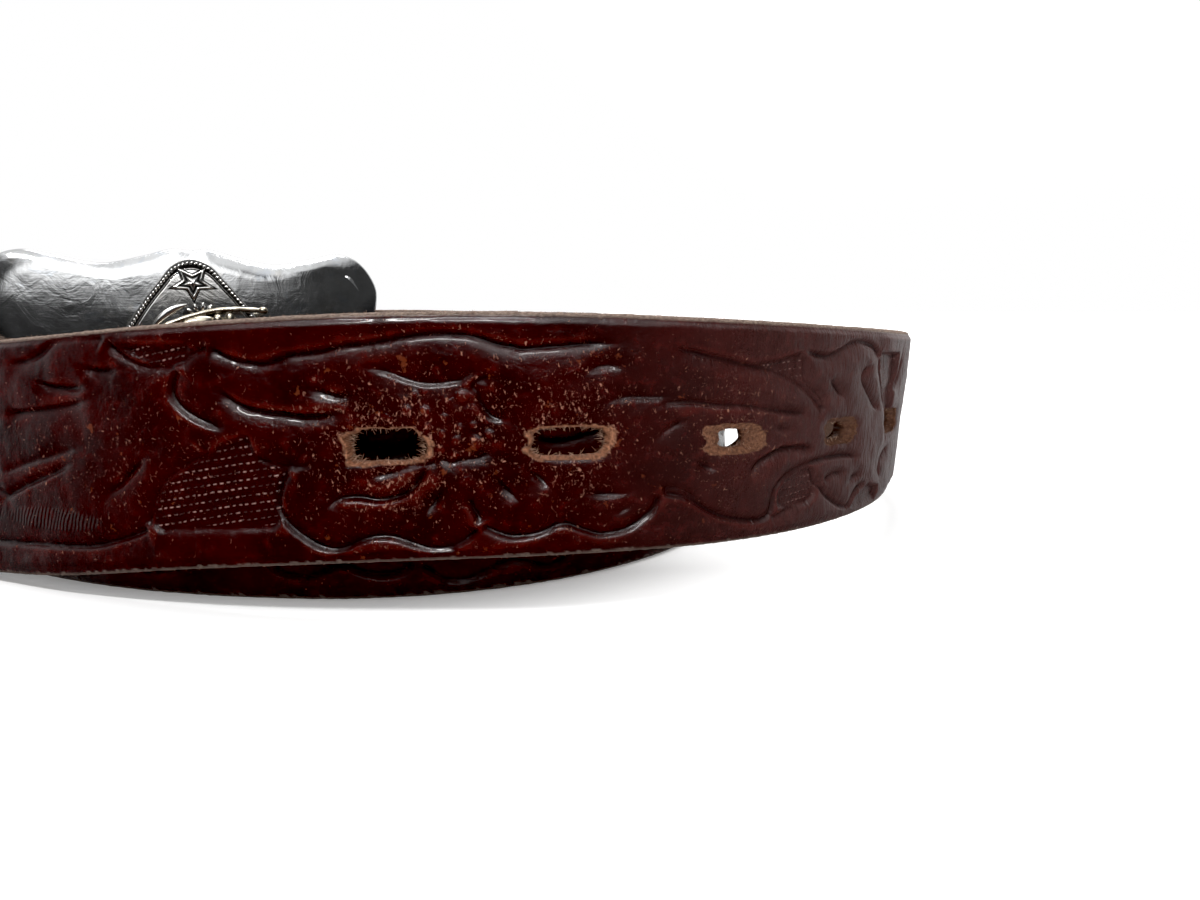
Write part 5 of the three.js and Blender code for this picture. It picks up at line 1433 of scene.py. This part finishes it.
# crest: domed boss and two turned scrolls with a leaf and a bead
CREST_SCROLL = [(-6.8, 1.0, 0), (-9.4, 4.6, 0), (-9.2, 9.4, 0), (-6.2, 12.4, 0), (-1.5, 14.4, 0), (3.2, 15.6, 0.1), (7.4, 15.9, 0.9), (12.2, 15.6, 0.9)]
CREST_PIECES = [(0.1, 13.2, 3.4, 1.4, 1.0, -0.24), (3.9, 13.9, 1.1, 1.2, 1.3, 0), (6.0, 13.6, 1.1, 1.9, 1.0, 0.2)]
crest = Builder()
ang = np.linspace(0, 2 * np.pi, 144, endpoint=False)
rings, rec = [], []
for f in np.r_[np.linspace(0.03, 0.9, 30), np.linspace(0.915, 1, 7)]:
    x, u = 8.0 * f * np.cos(ang), 13.6 * f * np.sin(ang)
    flute = 0.16 * np.cos(ang * 24) * max(0, math.sin(math.pi * (f - 0.55) / 0.42)) if 0.55 < f < 0.97 else 0 * ang
    depth = 0.6 + 1.9 * (1 - f * f) + flute
    rings.append(np.stack([PLATE_X + x, plate_front(x, u) + EM_FACE - 0.3 - depth, PLATE_Z + u], -1))
    rec.append(np.clip(-flute * 6, 0, 1) + (0.8 if f > 0.965 else 0) + 0.8 * math.exp(-((f - 0.55) / 0.015)**2))
x, u = 8.0 * np.cos(ang), 13.6 * np.sin(ang)
rings.append(np.stack([PLATE_X + x, plate_front(x, u) + EM_FACE - 0.3, PLATE_Z + u], -1)); rec.append(np.ones(144))
crest.grid(np.array(rings), np.array(rec))
for side in (1, -1):
    rows = np.array(CREST_SCROLL)
    fine = smooth_line(rows[:, :2], 0.22)
    base = smooth_line(np.c_[rows[:, 0], rows[:, 2]], 0.22)
    ar = np.r_[0, np.cumsum(np.hypot(*np.diff(fine, axis=0).T))]
    lift = np.interp(fine[:, 0] if False else ar / ar[-1], np.r_[0, np.cumsum(np.hypot(*np.diff(rows[:, :2], axis=0).T))] / np.cumsum(np.hypot(*np.diff(rows[:, :2], axis=0).T))[-1], rows[:, 2])
    pts = np.stack([PLATE_X + side * fine[:, 0], plate_front(fine[:, 0], fine[:, 1]) + EM_FACE - 0.3 - 0.85 - lift, PLATE_Z + side * fine[:, 1]], -1)
    t = ar / ar[-1]
    crest.tube(pts, 0.52 * (0.62 + 0.38 * ease(t * 5)) * (1 + 0.05 * np.sin(ar * 2.1)), 20,
               recess=np.clip(0.25 * np.sin(ar * 2.1) - 0.05, 0, 1))
    e = pts[-1]
    crest.blob(e + [0, -0.3, 0], np.eye(3), (0.95, 0.8, 0.8), 20, 12)
    for a, uu, hw, hh, hd, lean in CREST_PIECES:
        c, s_ = math.cos(lean), math.sin(lean)
        axes = np.array([[c, 0, -s_], [s_, 0, c], [0, -1, 0]]) if True else None
        mid = np.array([PLATE_X + side * a, plate_front(a, uu) + EM_FACE - 0.3 - hd, PLATE_Z + side * uu])
        crest.blob(mid, axes, (hw, hh, hd), 26, 14)
    # dark spot painted in the leaf as the shade of its hole (eye)
    crest.blob(np.array([PLATE_X + side * 2.1, plate_front(2.1, 13.8) + EM_FACE - 0.3 - 1.85, PLATE_Z + side * 13.8]), np.array([[1, 0, 0], [0, 0, 1], [0, -1, 0]]), (0.42, 0.26, 0.16), 14, 8, recess=1.0)
crest.build("buckle_crest_relief", BRASS, "buckle", "buckle_crest")

# snaps through the fold
for k, from_bar in enumerate((15.0, 31.0)):
    s_at = BAR_S - from_bar
    th = float(thickness(np.array([s_at]), BAR_S)[0])
    front, back, g = th / 2, th / 2 + FOLD_GAP + FOLD_THICK, 0.3
    prof = [(0.0, -back - g - 1.0), (2.2, -back - g - 1.0), (3.2, -back - g - 0.95), (3.65, -back - g - 0.7), (3.8, -back - g - 0.4), (3.8, -back - g - 0.05), (3.7, -back - g),
            (1.8, -back - g), (1.7, -back - g + 0.1), (1.7, front + g - 0.1), (1.8, front + g), (4.45, front + g), (4.6, front + g + 0.1), (4.6, front + g + 0.3),
            (4.4, front + g + 0.55), (4.0, front + g + 0.62), (3.85, front + g + 0.55), (3.7, front + g + 0.62), (3.2, front + g + 0.95), (2.3, front + g + 1.18), (1.2, front + g + 1.28), (0.0, front + g + 1.3)]
    tx, ty = at(np.array([s_at]), RTX)[0], at(np.array([s_at]), RTY)[0]
    outward = np.array([-ty, tx, 0])
    along = np.array([tx, ty, 0])
    c0 = np.array([at(np.array([s_at]), RX)[0], at(np.array([s_at]), RY)[0], at(np.array([s_at]), RLO)[0] + at(np.array([s_at]), RW)[0] / 2])
    w = np.linspace(0, 2 * np.pi, 48, endpoint=False)
    stud = Builder()
    rings = [c0 + np.cos(w)[:, None] * r * along + np.sin(w)[:, None] * r * np.array([0, 0, 1.0]) + outward * o for r, o in prof[1:-1]]
    stud.grid(np.array(rings)[:, ::-1])
    stud.build(f"snap_{k + 1}", SILVER, "strap", f"fold_snap_{k + 1}")

# ---------------------------------------------------------------- floor and light
n = 40
gx, gy = np.meshgrid(np.linspace(-2.2, 2.2, n + 1), np.linspace(-2.0, 2.4, n + 1), indexing="ij")
fv = np.stack([gx.ravel(), gy.ravel(), np.zeros(gx.size)], -1)
fi = np.arange(gx.size).reshape(n + 1, n + 1)
floor = make_mesh("floor", fv, np.stack([fi[:-1, :-1], fi[1:, :-1], fi[1:, 1:], fi[:-1, 1:]], -1).reshape(-1, 4))
fm = Material("pale_floor")
fm.colour(fm.mix(fm.noise(fm.place_object((1, 1, 1)), 30, 3), (0.90, 0.90, 0.90), (0.93, 0.93, 0.93)))
fm.bsdf.inputs["Roughness"].default_value = 0.9
fm.bsdf.inputs["IOR"].default_value = 1.2
# the floor glows, faintly near the belt and fully far from it, so that it runs over into the white surround
fx, fy, _ = fm.parts(fm.place_object((1, 1, 1)))
fm.set("Emission Strength", 0.22 + 0.78 * (fx * fx + fy * fy).power(0.5).steps(0.16, 0.70))
fm.bsdf.inputs["Emission Color"].default_value = (1, 1, 1, 1)
floor.data.materials.append(fm.m)
floor.visible_glossy = False

world = bpy.data.worlds.new("studio")
scene.world = world
world.use_nodes = True
wt = world.node_tree
wt.nodes.clear()
wo = wt.nodes.new("ShaderNodeOutputWorld")
bg = wt.nodes.new("ShaderNodeBackground")
wt.links.new(bg.outputs[0], wo.inputs["Surface"])
tc = wt.nodes.new("ShaderNodeTexCoord")
sp = wt.nodes.new("ShaderNodeSeparateXYZ")
wt.links.new(tc.outputs["Generated"], sp.inputs[0])
X, Y, Z = (Socket(wt, sp.outputs[i]) for i in range(3))
level_length = (X * X + Y * Y + 0.0001).power(0.5)
facing = ((X * 0.24 - Y * 0.971) * level_length.power(-1)).steps(0.80, 0.97)
above = (Z.steps(0.30, 0.52) * facing * 1.7).most(0.85 * Z.steps(0.62, 0.86))
beside = (Y - 0.30 * X).steps(-0.05, 0.60) * Z.steps(-0.65, 0.0)
lit = above.most(beside * (0.45 + 0.55 * (X + 0.9 * Z).steps(-0.9, 0.3)))
lightn = wt.nodes.new("ShaderNodeLightPath")
cam_ray = Socket(wt, lightn.outputs["Is Camera Ray"])
level = (0.012 + 0.03 * Z.steps(-0.05, 0.35) + 0.98 * lit).most(cam_ray * 1.0)
wt.links.new(level.out, bg.inputs["Strength"])
bg.inputs["Color"].default_value = (1, 1, 1, 1)


def soft_light(name, where, target, size, energy, colour=(1, 1, 1)):
    d = bpy.data.lights.new(name, "AREA")
    d.shape = "RECTANGLE"
    d.size, d.size_y = size
    d.energy = energy
    d.color = colour
    o = bpy.data.objects.new(name, d)
    scene.collection.objects.link(o)
    o.location = where
    v = np.array(target) - np.array(where)
    o.rotation_euler = (math.atan2(math.hypot(v[0], v[1]), -v[2]), 0, math.atan2(v[0], -v[1]) if True else 0)
    return o


soft_light("overhead", (-0.14, -0.52, 0.72), (0, -0.06, 0.02), (0.46, 0.11), 11.5)
soft_light("top_fill", (0.0, 0.22, 0.90), (0, 0.0, 0.02), (0.6, 0.5), 7.0)
soft_light("right_fill", (0.70, 0.38, 0.36), (0.05, -0.03, 0.02), (0.4, 0.4), 1.4)
